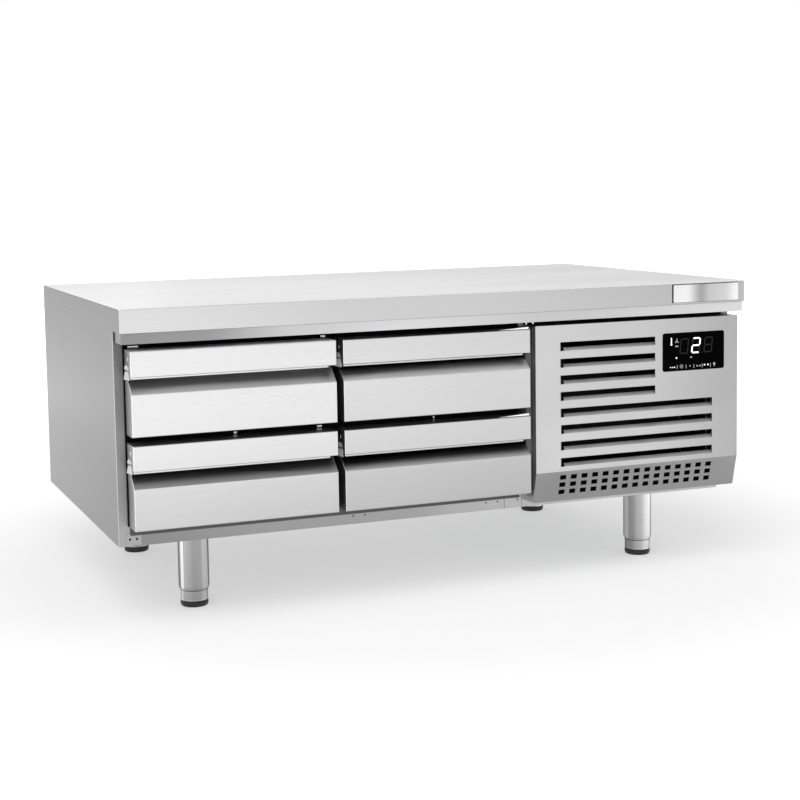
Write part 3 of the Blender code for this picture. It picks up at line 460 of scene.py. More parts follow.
def mm(*pairs):
    """A profile's points, given in millimetres."""
    return [(first / 1000, second / 1000) for first, second in pairs]


def turned(profile, centre, axis="Z", steps=64):
    """A solid of revolution from (radius, distance along the axis) pairs."""
    shape = bmesh.new()
    verts = [shape.verts.new((radius, 0, along)) for radius, along in profile]
    edges = [shape.edges.new(pair) for pair in zip(verts, verts[1:])]
    bmesh.ops.spin(shape, geom=verts + edges, axis=(0, 0, 1), angle=2 * pi, steps=steps, use_merge=True)
    bmesh.ops.remove_doubles(shape, verts=shape.verts, dist=1e-6)
    turns = {"X": Matrix.Rotation(pi / 2, 3, "Y"), "Y": Matrix.Rotation(-pi / 2, 3, "X")}
    if axis in turns:
        bmesh.ops.rotate(shape, verts=shape.verts, matrix=turns[axis])
    bmesh.ops.translate(shape, verts=shape.verts, vec=centre)
    bmesh.ops.recalc_face_normals(shape, faces=shape.faces)
    return shape


def drawn_out(outline, step):
    """A plate with this outline, as thick as the step."""
    shape = bmesh.new()
    face = shape.faces.new([shape.verts.new(point) for point in outline])
    made = bmesh.ops.extrude_face_region(shape, geom=[face])
    moved = [part for part in made["geom"] if isinstance(part, bmesh.types.BMVert)]
    bmesh.ops.translate(shape, verts=moved, vec=step)
    return shape


def disc(centre, radius, front, hole=0.0):
    """A thin disc on a face of the front, or a ring where it has a hole."""
    thickness = -0.0002
    profile = [(hole, 0), (radius, 0), (radius, thickness), (hole, thickness)]
    if hole:
        profile.append(profile[0])
    return turned(profile, (centre[0], front, centre[1]), "Y", 24 if hole else 16)


def pipe(points, radius, closed=False):
    """A round bar or pipe along a line of points, as a mesh."""
    curve = bpy.data.curves.new("line", "CURVE")
    curve.dimensions = "3D"
    curve.bevel_depth, curve.bevel_resolution = radius, 3
    curve.use_fill_caps = True
    spline = curve.splines.new("POLY")
    spline.points.add(len(points) - 1)
    for spot, point in zip(spline.points, points):
        spot.co = (*point, 1)
    spline.use_cyclic_u = closed
    made = placed("line", curve)
    mesh = bpy.data.meshes.new_from_object(made.evaluated_get(bpy.context.evaluated_depsgraph_get()))
    bpy.data.objects.remove(made)
    shape = bmesh.new()
    shape.from_mesh(mesh)
    bpy.data.meshes.remove(mesh)
    return shape


def rounded_route(corners, radius, closed=False, steps=5):
    """Points along a route whose corners are arcs."""
    spots = [Vector(corner) for corner in corners]
    points = []
    for index, corner in enumerate(spots):
        before, after = spots[index - 1], spots[(index + 1) % len(spots)]
        if not closed and index in (0, len(spots) - 1):
            points.append(corner)
            continue
        inward, outward = (before - corner).normalized(), (after - corner).normalized()
        reach = min(radius, (before - corner).length / 2, (after - corner).length / 2)
        start, end = corner + inward * reach, corner + outward * reach
        for step in range(steps + 1):
            share = step / steps
            points.append(start.lerp(corner, share).lerp(corner.lerp(end, share), share))
    return points


def copy_of(node, radius, segments=2, wanted=lambda edge: True, least=radians(40)):
    """A node's own shape, merged and with its sharp edges rounded."""
    shape = bmesh.new()
    shape.from_mesh(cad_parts[node].data)
    bmesh.ops.remove_doubles(shape, verts=shape.verts, dist=same_place)
    bmesh.ops.dissolve_limit(
        shape, angle_limit=radians(0.5), verts=shape.verts, edges=shape.edges, use_dissolve_boundaries=False
    )
    sharp = [
        edge for edge in shape.edges if edge.is_manifold and edge.calc_face_angle() > least and wanted(edge)
    ]
    round_edges(shape, sharp, radius, segments)
    return shape


def finish_faces(shape, *choices):
    """Each face takes the finish of the last choice that suits its normal and middle, counted from 1."""
    for face in shape.faces:
        for number, suits in enumerate(choices, 1):
            if suits(face.normal, face.calc_center_median()):
                face.material_index = number


# A rivet's head: shares of its radius and of its rise
head_shares = [(1, -0.4), (1, 0.2), (0.82, 0.75), (0.5, 1), (0.3, 1), (0.26, 0.4), (0, 0.4)]


def rivet(centre, axis, outward, radius=0.0028):
    """A blind rivet's head with its small hollow, standing on a face."""
    rise = radius * 0.45 * outward
    return turned([(radius * across, rise * up) for across, up in head_shares], centre, axis, 20)


def folded(node, finish, slot, radius=0.0006, body="cabinet"):
    """A sheet or moulding as it stands in the frame, with its edges rounded."""
    piece(f"{node}_folded", copy_of(node, radius, least=radians(35)), finish, slot, node, body=body)


def wire_guard(centre, face, radii, spokes, wire):
    """Concentric wire rings with spokes, standing in front of a fan."""

    def spot(radius, turn, level):
        return centre.x + radius * cos(turn), level, centre.z + radius * sin(turn)

    circle = [2 * pi * step / 48 for step in range(48)]
    wires = [pipe([spot(radius, turn, face) for turn in circle], wire, closed=True) for radius in radii]
    for number in range(spokes):
        turn = 2 * pi * (number + 0.5) / spokes
        wires.append(pipe([spot(reach, turn, face + wire) for reach in (radii[0], radii[-1])], wire))
    return joined(*wires)


# Worktop, strip and nameplate
def worktop():
    """The folded top with its rounded nose, and the strip under it."""
    low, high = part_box("worktop")
    upper_radius, lower_radius, strip_radius = 0.0016, 0.0004, 0.0005

    def lower(edge):
        return all(vert.co.z < low.z + same_place for vert in edge.verts)

    shape = plate(*within(low, high))
    round_edges(shape, [edge for edge in shape.edges if not lower(edge)], upper_radius, 4)
    round_edges(shape, [edge for edge in shape.edges if lower(edge)], lower_radius, 2)
    shape.normal_update()
    # Painted light and shade on the one sheet: the top takes the brightest steel, the front of the nose a
    # darker one, the ends and the back the darker side steel, and the rounding over the nose a highlight.
    finish_faces(
        shape,
        lambda normal, spot: abs(normal.x) > facing or normal.y > facing,
        lambda normal, spot: normal.y < -facing,
        lambda normal, spot: -square < normal.y < -0.15 and normal.z > 0.15,
    )
    piece("worktop_sheet", shape, (steel_top, steel_side, steel_nose, steel_highlight), "stainless", "worktop")
    strip = copy_of("nose_strip", strip_radius)
    finish_faces(strip, lambda normal, spot: abs(normal.x) > facing)
    piece("nose_strip_folded", strip, (steel_strip, steel_side), "stainless", "nose_strip")


def nameplate():
    """A bare bright plate on a black bed, near the right end of the nose; the bed shows wider at the left
    and the top as painted shadow.
    """
    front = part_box("worktop")[0].y
    left, right, bottom, top = 0.443, 0.584, 0.5038, 0.5366
    proud, back, corner_radius, rim_radius = 0.0026, 0.0008, 0.0016, 0.0005
    shape = plate((left, right), (front - proud, front - back), (bottom, top))
    through = [edge for edge in shape.edges if abs(edge.verts[0].co.y - edge.verts[1].co.y) > back]
    round_edges(shape, through, corner_radius, 3)
    rim = [edge for edge in shape.edges if all(vert.co.y < front - proud + near for vert in edge.verts)]
    round_edges(shape, rim, rim_radius, 3)
    piece("nameplate", shape, steel_plate, "stainless_bright")
    # Painted shadow: the black bed shows wider at the left and the top of the plate.
    wide, narrow, bed_ys = 0.0009, 0.00045, (front - 0.0014, front + 0.0004)
    bed = plate((left - wide, right + narrow), bed_ys, (bottom - narrow, top + wide))
    piece("nameplate_bed", bed, black_trim, "black_plastic")


def side_panels():
    """The folded sides, satin outside, with painted shade on the narrow front that frames the drawers."""
    fold_radius, filler, end_gap, filler_drop, filler_rise = 0.0014, 0.003, 0.002, 0.002, 0.0018
    for side in ("left", "right"):
        node = f"side_panel_{side}"
        shape = copy_of(node, fold_radius, 3)
        finish_faces(
            shape,
            lambda normal, spot: normal.y < -square,
            lambda normal, spot: abs(normal.x) > 0.2 and -square <= normal.y < -0.2,
        )
        piece(f"side_{side}_folded", shape, (steel_side, steel_frame, steel_end), "stainless", node)
        # A filler closes the seam under the worktop, flush with the side.
        low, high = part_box(node)
        xs = (low.x + near, low.x + filler) if side == "left" else (high.x - filler, high.x - near)
        seam = plate(xs, (low.y + end_gap, high.y - end_gap), (high.z - filler_drop, high.z + filler_rise))
        piece(f"side_{side}_seam_filler", seam, steel_side, "stainless")


# Drawers
band_height = 0.043
# Two pressed lugs on a drawer's left end plate: outlines in depth and rise over the band's lower edge
tab_outline = mm((8, -5.5), (31, -5.5), (25, 8.5), (12, 8.5))
clip_outline = mm((14, 11.5), (29, 11.5), (27, 16.5), (22, 19.5), (16, 16.5))
tab_lean, clip_lean, lug_sheet = 0.2, 0.25, 0.0002


def lug(outline, corner, lean):
    """A thin lug that leans out of an end plate towards the back."""
    x, y, z = corner
    start = min(depth for depth, _ in outline)
    points = [(x - lean * (depth - start), y + depth, z + rise) for depth, rise in outline]
    shape = drawn_out(points, (lug_sheet, 0, 0))
    bmesh.ops.recalc_face_normals(shape, faces=shape.faces)
    return shape


def drawer(number):
    """A drawer's folded front with its hem, lugs and a black lining as painted shade, and its gasket."""
    body = f"drawer_{number}"
    low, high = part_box(f"drawer_front_{number}")
    front, band_bottom = low.y, high.z - band_height
    fold_depth, fold_radius = 0.0335, 0.0009

    def end_fold(edge):
        ends = [vert.co for vert in edge.verts]
        outer = any(end.x < low.x + near or end.x > high.x - near for end in ends)
        return outer and all(end.y < front + fold_depth for end in ends)

    shape = copy_of(f"drawer_front_{number}", fold_radius, 3, end_fold)
    finish_faces(
        shape,
        lambda normal, spot: normal.y < -slanting and normal.z > slanting,
        lambda normal, spot: normal.z < -facing and spot.z > low.z + 0.01,
        lambda normal, spot: normal.z > 0.95 and spot.z > high.z - 0.001,
        lambda normal, spot: 0.25 < abs(normal.x) < square and normal.y < -0.2,
        lambda normal, spot: abs(normal.x) > square,
    )
    # Painted light and shade: each drawer's grip and band underside take its own shaded steel, the rounded
    # ends a highlight, and only the first drawer's top fold the pale lit finish.
    sheets = (steel_front, *grip_shading[number], lit_top_return if number == 1 else steel_end, steel_highlight, steel_end)
    piece(f"{body}_folded_front", shape, sheets, "stainless", f"drawer_front_{number}", body=body)
    # The band's hem stops short of its right end.
    hem_xs, hem_ys = (low.x + 0.0004, high.x - 0.014), (front + 0.0014, front + 0.0085)
    hem = plate(hem_xs, hem_ys, (band_bottom - 0.0034, band_bottom - 0.0003), 0.0006)
    piece(f"{body}_band_hem", hem, steel_front, "stainless", body=body)
    corner = (low.x - 0.0003, front, band_bottom)
    lugs = joined(lug(tab_outline, corner, tab_lean), lug(clip_outline, corner, clip_lean))
    piece(f"{body}_end_tabs", lugs, lit_top_return, "stainless_bright", body=body)
    # The right drawers' top folds are turned up into a wedge at their right end.
    if number in (3, 4):
        length, tip, high_end, sunk, rise, fall = 0.06, 0.001, 0.02, 0.0002, 0.0036, 0.0034
        wedge_zs = (high.z - sunk, high.z + rise)
        wedge = plate((high.x - length, high.x - tip), (front + 0.004, front + 0.016), wedge_zs)
        lowered = [vert for vert in wedge.verts if vert.co.x < high.x - high_end and vert.co.z > high.z]
        bmesh.ops.translate(wedge, verts=lowered, vec=(0, 0, -fall))
        # The wedge's near-white finish is a painted highlight.
        piece(f"{body}_top_wedge", wedge, steel_highlight, "stainless_bright", body=body)
    # Painted shade: a black lining stands for the dark inside of the band, behind the hole and the slot of
    # its left end plate.
    lining_xs, lining_ys = (low.x + 0.0014, low.x + 0.0019), (front + 0.012, front + 0.028)
    lining = plate(lining_xs, lining_ys, (high.z - 0.038, high.z - 0.006))
    piece(f"{body}_end_lining", lining, black_trim, "black_plastic", body=body)
    folded(f"drawer_gasket_{number}", gasket_rubber, "gasket", 0.0007, body)


def tub(xs, ys, zs, radius, sheet):
    """An open box drawn from one sheet, its corners and its floor's edges rounded."""
    shape = plate(xs, ys, zs)
    below = [edge for edge in shape.edges if any(vert.co.z < zs[1] - same_place for vert in edge.verts)]
    round_edges(shape, below, radius, 5)
    shape.normal_update()
    lids = [face for face in shape.faces if face.normal.z > square]
    bmesh.ops.delete(shape, geom=lids, context="FACES")
    bmesh.ops.solidify(shape, geom=shape.faces[:], thickness=sheet)
    bmesh.ops.recalc_face_normals(shape, faces=shape.faces)
    return shape


def drawer_box(number):
    """The drawn steel tub with its rolled rim, and the inner runners riveted to its sides."""
    body = f"drawer_{number}"
    low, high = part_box(f"drawer_box_{number}")
    web, sheet, corner, rim_radius = 0.0024, 0.001, 0.01, 0.0021
    (left, right), ys, zs = within(low, high, web)
    box = tub((left, right), ys, zs, corner, sheet)
    piece(f"{body}_box_drawn", box, steel_inside, "stainless_bright", f"drawer_box_{number}", body=body)
    rim_xs, rim_ys, rim_zs = within(low, high, web + rim_radius, rim_radius, rim_radius)
    route = [(rim_xs[x], rim_ys[y], rim_zs[1]) for x, y in ((0, 0), (1, 0), (1, 1), (0, 1))]
    rim = pipe(rounded_route(route, corner, closed=True), rim_radius, closed=True)
    piece(f"{body}_rolled_rim", rim, steel_inside, "stainless_bright", body=body)
    clear, fold, bite, head = 0.002, 0.0012, 0.0002, 0.003
    _, along, levels = within(*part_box(f"runner_left_{number}"), 0, 0, clear)
    middle = (levels[0] + levels[1]) / 2
    bars, heads = [], []
    for outer, wall, inward in ((low.x, left, 1), (high.x, right, -1)):
        bars.append(plate(sorted((outer, outer + inward * fold)), along, levels, 0.0004))
        for level in (levels[0], levels[1] - fold):
            bars.append(plate(sorted((outer, wall + inward * bite)), along, (level, level + fold), 0.0003))
        for share in (0.08, 0.36, 0.64, 0.92):
            y = along[0] + share * (along[1] - along[0])
            heads.append(rivet((wall + inward * sheet, y, middle), "X", inward, head))
    piece(f"{body}_inner_runners", joined(*bars), zinc, "stainless_bright", body=body)
    piece(f"{body}_runner_rivets", joined(*heads), steel_tube, "stainless_bright", body=body)


def runners_and_racks():
    """The middle runners, the racks on the walls and the screws that hold them."""
    edge_radius, web, end_inset, edge_inset = 0.0004, 0.0018, 0.06, 0.006
    for number in drawer_numbers:
        for side in ("left", "right"):
            folded(f"runner_{side}_{number}", zinc, "galvanised", edge_radius, f"runners_{number}")
    heads = []
    for column in (1, 2):
        for side, inward in (("left", 1), ("right", -1)):
            low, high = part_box(f"rack_{side}_{column}")
            folded(f"rack_{side}_{column}", zinc, "galvanised", edge_radius)
            face = (low.x if inward > 0 else high.x) + inward * web
            for y in (low.y + end_inset, high.y - end_inset):
                for level in (low.z + edge_inset, (low.z + high.z) / 2, high.z - edge_inset):
                    heads.append(rivet((face, y, level), "X", inward))
    piece("rack_screws", joined(*heads), steel_tube, "stainless_bright")


# Trims, clips and holes round the drawers
def gap_trims():
    """Black profiles on the frame, seen only as the dark gaps round the drawers: painted shade in the gaps.
    """
    fronts = [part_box(f"drawer_front_{number}") for number in drawer_numbers]
    machine_low, machine_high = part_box("machine_panel")
    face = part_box("front_frame")[0].y
    proud, sunk, clear, inset, end_proud = 0.004, 0.0005, 0.0008, 0.0015, 0.0036
    ys, end_ys = (face - proud, face + sunk), (face - end_proud, face + sunk)
    top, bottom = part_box("nose_strip")[0].z - 0.0003, fronts[1][0].z
    left, right = fronts[0][0].x, fronts[2][1].x
    trims = [
        plate((fronts[0][1].x - clear, fronts[2][0].x + clear), ys, (bottom, top)),
        plate((left + inset, right - clear), ys, (fronts[0][1].z - clear, top)),
        plate((left - 0.0016, left + 0.003), end_ys, (bottom, top)),
    ]
    for upper, lower, start in ((0, 1, left + inset), (2, 3, fronts[2][0].x)):
        zs = (fronts[lower][1].z - clear, fronts[upper][0].z + clear)
        trims.append(plate((start, fronts[upper][1].x), ys, zs))
    trims += [
        plate((machine_low.x + 0.001, machine_high.x - 0.006), ys, (machine_high.z - 0.004, top)),
        plate((machine_low.x + 0.004, machine_high.x - 0.004), ys, (0.15, machine_low.z + 0.06)),
    ]
    piece("gap_trims", joined(*trims), black_trim, "black_plastic")
    # Painted shade: the post between the drawers and the machine panel is dark grey.
    post_xs, post_ys = (right - clear, machine_low.x - 0.0006), (ys[0] - 0.03, ys[1])
    post = plate(post_xs, post_ys, (bottom, fronts[2][1].z + 0.001), 0.0005)
    piece("machine_post_trim", post, grey_trim, "black_plastic")
    # Small bright clips hold the trims, each with its start, length and base.
    (first_low, first_high), lower_top = fronts[0], fronts[1][1].z
    spots = [
        (first_low.x + 0.185, 0.006, lower_top), (first_low.x + 0.006, 0.018, first_high.z),
        (first_high.x - 0.0125, 0.0085, first_high.z), (first_high.x - 0.022, 0.009, lower_top),
        (fronts[2][0].x + 0.185, 0.0035, fronts[3][1].z),
    ]
    clip_ys, clip_bottom, clip_top = (ys[0] - 0.0022, ys[0] + 0.0002), 0.0012, 0.005
    clips = [
        plate((start, start + length), clip_ys, (base + clip_bottom, base + clip_top), 0.0006)
        for start, length, base in spots
    ]
    # Two locating pins stand in front of the trim, between the drawers and the machine panel.
    pin = mm((0, 0.4), (1.9, 0.4), (1.9, -4.5), (1.5, -5), (0, -5))
    for x in (right + 0.0015, machine_low.x + 0.004):
        clips.append(turned(pin, (x, ys[0] - 0.028, top), steps=20))
    piece("trim_clips", joined(*clips), steel_plate, "stainless_bright")
    # Painted shadow: a dark strip on the rail just under the drawers stands for their shadow.
    shadow_ys, shadow_zs = (face - 0.0022, face + 0.0004), (bottom - 0.016, bottom + 0.0015)
    piece("strip_over_rail", plate((left + 0.002, right), shadow_ys, shadow_zs), steel_shade, "stainless")


def rail_fittings():
    """The corner plate, the joint and the holes on the front's bottom rail."""
    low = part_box("front_frame")[0]
    face, level = low.y, low.z + 0.0125
    corner_ys, corner_zs = (face - 0.0012, face + 0.0004), (low.z + 0.0015, low.z + 0.0225)
    corner = plate((-0.588, -0.5615), corner_ys, corner_zs, 0.0005)
    piece("rail_corner_plate", corner, steel_frame, "stainless")
    corner_holes, rail_holes, higher = (-0.5812, -0.5692), (-0.179, -0.157, 0.081, 0.1045, 0.145), 0.002
    # Painted shade: black discs on the rail stand for its small holes.
    holes = [disc((x, level), 0.0019, face - 0.0011) for x in corner_holes]
    holes += [disc((x, level + higher), 0.0015, face + near) for x in rail_holes]
    piece("rail_holes", joined(*holes), black_trim, "black_plastic")
    joint = plate((0.1176, 0.1184), (face - 0.0003, face + 0.0003), (low.z + 0.001, low.z + 0.0245))
    piece("rail_joint", joint, steel_shade, "stainless")


# Machine panel and display
def machine_panel():
    """The louvred panel, its folded edges rounded."""
    low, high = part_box("machine_panel")

    def end_fold(edge):
        ends = [vert.co.x for vert in edge.verts]
        return all(x < low.x + near for x in ends) or all(x > high.x - near for x in ends)

    shape = copy_of("machine_panel", 0.0007, 2, end_fold)
    # Behind the sheet the slots' lips lean to the right. Each end has its shift at the sheet and its shift
    # at the lip's inner edge, which also stands lower.
    left_shifts, right_shifts, drop = (0.002, 0.0045), (0.0056, 0.012), 0.0026
    skin, lip_front, lip_back = low.y + 0.0004, low.y + 0.008, low.y + 0.012
    slots_left, slots_bottom, slots_top = low.x + 0.06, low.z + 0.06, high.z - 0.03
    ends = {round(vert.co.x, 4) for vert in shape.verts if lip_front < vert.co.y < lip_back}
    for vert in shape.verts:
        x, y, z = vert.co
        on_lip = skin < y < lip_back and slots_bottom < z < slots_top
        if on_lip and any(abs(x - end) < 0.0002 for end in ends):
            inner = lip_front < y
            vert.co.x += (left_shifts if x < slots_left else right_shifts)[inner]
            vert.co.z -= drop * inner
    finish_faces(
        shape,
        lambda normal, spot: normal.y < -0.5 and normal.z < -0.12,
        lambda normal, spot: normal.y < -slanting and normal.z > slanting,
    )
    sheets = (steel_panel, steel_apron, dull_return)
    piece("machine_panel_folded", shape, sheets, "stainless", "machine_panel")


digit_slant, sign_thickness = 0.1, 0.0002
segments_of = {"2": "abged", "rest of 2": "cf", "8": "abcdefg", "0": "abcdef"}


def bar(start, end, stroke, front):
    """A flat pointed bar between two points of the display's face."""
    (x0, z0), (x1, z1) = start, end
    along = Vector((x1 - x0, z1 - z0))
    length, half = along.length, stroke / 2
    outline = [
        (0, 0, 0), (half, 0, half), (length - half, 0, half), (length, 0, 0), (length - half, 0, -half),
        (half, 0, -half),
    ]
    shape = drawn_out(outline, (0, -sign_thickness, 0))
    turn = Matrix.Rotation(-along.angle_signed(Vector((1, 0))), 3, "Y")
    bmesh.ops.rotate(shape, verts=shape.verts, matrix=turn)
    bmesh.ops.translate(shape, verts=shape.verts, vec=(x0, front, z0))
    bmesh.ops.recalc_face_normals(shape, faces=shape.faces)
    return shape


def digit(centre, width, height, stroke, letters, front):
    """The bars of a seven-segment digit, leaning a little to the right."""
    half, rise = width / 2, height / 2
    gap = stroke * 0.15

    def spot(x, z):
        return centre[0] + x + digit_slant * z, centre[1] + z

    ends = {
        "a": ((-half + gap, rise), (half - gap, rise)),
        "b": ((half, rise - gap), (half, gap)),
        "c": ((half, -gap), (half, -rise + gap)),
        "d": ((half - gap, -rise), (-half + gap, -rise)),
        "e": ((-half, -rise + gap), (-half, -gap)),
        "f": ((-half, gap), (-half, rise - gap)),
        "g": ((-half + gap, 0), (half - gap, 0)),
    }
    return [bar(spot(*ends[letter][0]), spot(*ends[letter][1]), stroke, front) for letter in letters]


def controller():
    """The controller's glass with a lit digit, dim unlit ones and a row of touch signs."""
    low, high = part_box("controller")
    front, width, height = low.y, high.x - low.x, high.z - low.z

    def rim(edge):
        return all(vert.co.y < front + near for vert in edge.verts)

    glass = copy_of("controller", 0.0004, 3, rim)
    piece("controller_glass", glass, display_glass, "display_glass", "controller")

    def at(across, down):
        return low.x + across * width, high.z - down * height

    def line(start, end, stroke):
        return bar(at(*start), at(*end), stroke, front)

    def lamp(across, down, radius, hole=0.0):
        return disc(at(across, down), radius, front, hole)

    def figure(across, down, stroke, shown):
        size = (0.12 * width, 0.375 * height)
        return digit(at(across, down), *size, stroke, segments_of[shown], front)

    lit_stroke, unlit_stroke = 0.0028, 0.0024
    bright = figure(0.535, 0.352, lit_stroke, "2") + [lamp(0.218, 0.657, 0.0016)]
    ghosts = figure(0.535, 0.352, unlit_stroke, "rest of 2") + figure(0.345, 0.356, unlit_stroke, "0")
    ghosts += figure(0.735, 0.352, unlit_stroke, "8") + [lamp(0.625, 0.545, 0.0014)]
    # A thermometer and a fan's sign stand beside the digits.
    bright += [line((0.136, 0.31), (0.136, 0.115), 0.002), lamp(0.136, 0.3, 0.0015)]
    dim = [
        line((0.222, 0.235), (0.226, 0.145), 0.0016), line((0.196, 0.262), (0.222, 0.215), 0.0016),
        line((0.252, 0.262), (0.226, 0.215), 0.0016), line((0.194, 0.35), (0.252, 0.35), 0.0022),
        line((0.437, 0.655), (0.475, 0.66), 0.0024),
    ]
    # The touch row has signs between thin dividers.
    row, divider_reach, thin = 0.893, 0.052, 0.0011
    for across in (0.231, 0.374, 0.5, 0.639, 0.773):
        dim.append(line((across, row - divider_reach), (across, row + divider_reach), thin))
    bright += [lamp(across, row, 0.001) for across in (0.124, 0.16, 0.19)]
    dim += [lamp(0.3, row - 0.01, 0.0034, 0.0025), lamp(0.3, row - 0.01, 0.0009)]
    dim.append(lamp(0.437, row - 0.01, 0.0013))
    half = 0.008
    for across, lean in ((0.546, 0.025), (0.56, -0.025), (0.594, 0.025), (0.608, -0.025)):
        dim.append(line((across - half, row + lean), (across + half, row - lean), thin))
    bright += [lamp(across, row - 0.015, 0.0015) for across in (0.676, 0.731)]
    dim += [lamp(0.836, row - 0.025, 0.0024), line((0.836, row + 0.045), (0.836, row - 0.02), 0.0014)]
    piece("display_lit_signs", joined(*bright), sign_white, "display_glass")
    piece("display_dim_signs", joined(*dim), sign_dim, "display_glass")
    # The unlit digits carry a faint painted glow.
    piece("display_unlit_digits", joined(*ghosts), sign_ghost, "display_glass")


# Cooling unit and back
def vent_baffle():
    """A black baffle behind the back panel's vents, so that no light shows through the machine bay."""
    clear, bottom, top = 0.004, 0.15, 0.48
    xs = (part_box("partition")[1].x + clear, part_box("side_panel_right")[0].x - clear)
    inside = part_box("evaporator")[1].y
    shape = plate(xs, (inside - 0.0035, inside - 0.0025), (bottom, top))
    piece("vent_baffle", shape, black_trim, "black_paint")


def back_screws():
    """Round-headed screws along the edges of the back panel."""
    low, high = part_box("back_panel")
    inset, head = 0.012, 0.0036
    xs = [low.x + inset + step * (high.x - low.x - 2 * inset) / 6 for step in range(7)]
    zs = [low.z + inset + step * (high.z - low.z - 2 * inset) / 2 for step in range(3)]
    spots = [(x, z) for x in xs for z in (zs[0], zs[2])] + [(x, zs[1]) for x in (xs[0], xs[-1])]
    heads = [rivet((x, high.y, z), "Y", 1, head) for x, z in spots]
    piece("back_panel_screws", joined(*heads), steel_tube, "stainless_bright")


def coil(node, fins, rows, tube, finish):
    """A coil's thin fins between end plates, and its tubes, whose bends stand out of both ends."""
    low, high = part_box(node)
    end, fin, margin, tube_inset_share = 0.0012, 0.0005, 0.001, 0.27
    _, ys, zs = within(low, high)
    _, fin_ys, fin_zs = within(low, high, 0, margin, margin)
    pitch = (high.x - low.x - 2 * end) / fins
    sheets = [plate((x, x + end), ys, zs, 0.0004) for x in (low.x, high.x - end)]
    for number in range(fins):
        x = low.x + end + (number + 0.5) * pitch
        sheets.append(plate((x - fin / 2, x + fin / 2), fin_ys, fin_zs))
    piece(f"{node}_fins", joined(*sheets), finish, "aluminium_fins", node)
    rise, inset = (high.z - low.z) / rows, (high.y - low.y) * tube_inset_share
    levels = [low.z + (row + 0.5) * rise for row in range(rows)]
    turns = [pi * step / 10 - pi / 2 for step in range(11)]
    tubes = []
    for y in (low.y + inset, high.y - inset):
        for level in levels:
            tubes.append(pipe([(low.x, y, level), (high.x, y, level)], tube))
        for face, outward, first in ((high.x, 1, 0), (low.x, -1, 1)):
            for lower, upper in zip(levels[first::2], levels[first + 1 :: 2]):
                middle, reach = (lower + upper) / 2, (upper - lower) / 2
                out = outward * reach * 0.8
                bend = [(face + out * cos(turn), y, middle + reach * sin(turn)) for turn in turns]
                tubes.append(pipe(bend, tube))
    return joined(*tubes)


def cooling_unit():
    """Condenser, shroud, fan and motor, and the evaporator behind its cover."""
    tubes = coil("condenser", 84, 10, 0.0036, black_paint)
    piece("condenser_tubes", tubes, black_paint, "copper")
    tubes = coil("evaporator", 72, 8, 0.0042, aluminium)
    piece("evaporator_tubes", tubes, copper, "copper")
    folded("fan_shroud", black_paint, "galvanised", 0.0005)
    folded("evaporator_cover", steel_inside, "stainless")
    for fan in ("condenser_fan", "evaporator_fan"):
        folded(fan, black_plastic, "black_plastic", 0.0004, fan)
    low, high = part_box("fan_motor")
    centre, radius = (low + high) / 2, (high.x - low.x) / 2
    shaft, boss, face, groove = 0.004, 0.012, high.y - 0.042, 0.0008
    profile = [
        (0, low.y), (shaft - 0.0005, low.y), (shaft, low.y + 0.0006), (shaft, face), (boss, face),
        (boss, face + 0.0015), (radius - 0.003, face + 0.0015), (radius, face + 0.0045),
        (radius, face + 0.017), (radius - groove, face + 0.018), (radius - groove, face + 0.023),
        (radius, face + 0.024), (radius, high.y - 0.004), (radius - 0.003, high.y), (0, high.y),
    ]
    motor = turned(profile, (centre.x, 0, centre.z), "Y")
    piece("fan_motor_turned", motor, black_paint, "black_paint", "fan_motor")
    rings = (0.042, 0.054, 0.066, 0.078, 0.09, 0.102, 0.112)
    guard = wire_guard(centre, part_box("fan_shroud")[0].y + 0.0425, rings, 6, 0.001)
    piece("condenser_fan_guard", guard, black_paint, "black_paint")
    low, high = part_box("evaporator_cover")
    rings = (0.016, 0.029, 0.042, 0.055, 0.068, 0.081)
    guard = wire_guard((low + high) / 2, low.y - 0.0007, rings, 8, 0.0008)
    piece("evaporator_fan_guard", guard, zinc, "stainless_bright")
    across, up = (0.012, 0.348), (0.012, 0.188)
    heads = [rivet((low.x + step, low.y, low.z + rise), "Y", -1) for step in across for rise in up]
    piece("evaporator_cover_screws", joined(*heads), steel_tube, "stainless_bright")


# The compressor's shell: shares of its radius and of its height
shell_shares = [
    (0, 0), (0.8, 0), (0.9, 0.015), (0.96, 0.055), (0.99, 0.11), (1.0, 0.17), (1.0, 0.44), (1.015, 0.445),
    (1.04, 0.45), (1.04, 0.485), (1.015, 0.49), (1.0, 0.495), (0.995, 0.62), (0.975, 0.73), (0.93, 0.82),
    (0.84, 0.895), (0.7, 0.95), (0.5, 0.98), (0.25, 0.995), (0, 1.0),
]
# Profiles of its small parts: radius and height over the foot or over the shell's top
grommet = mm((0, 6), (6, 6), (7.5, 4.5), (6.2, 3), (8, 0.8), (8, -0.3), (0, -0.3))
bolt = mm((0, 11), (4, 11), (4.6, 10.4), (4.6, 6.8), (5.8, 6.6), (5.8, 5.8), (0, 5.8))
cap = mm((0, 7.5), (5.6, 7), (6.8, 1), (6.8, -1), (0, -1))
collar = mm((4, 1), (6.4, 0), (6.4, 10), (5.8, 11), (4, 11.5), (4, 1))


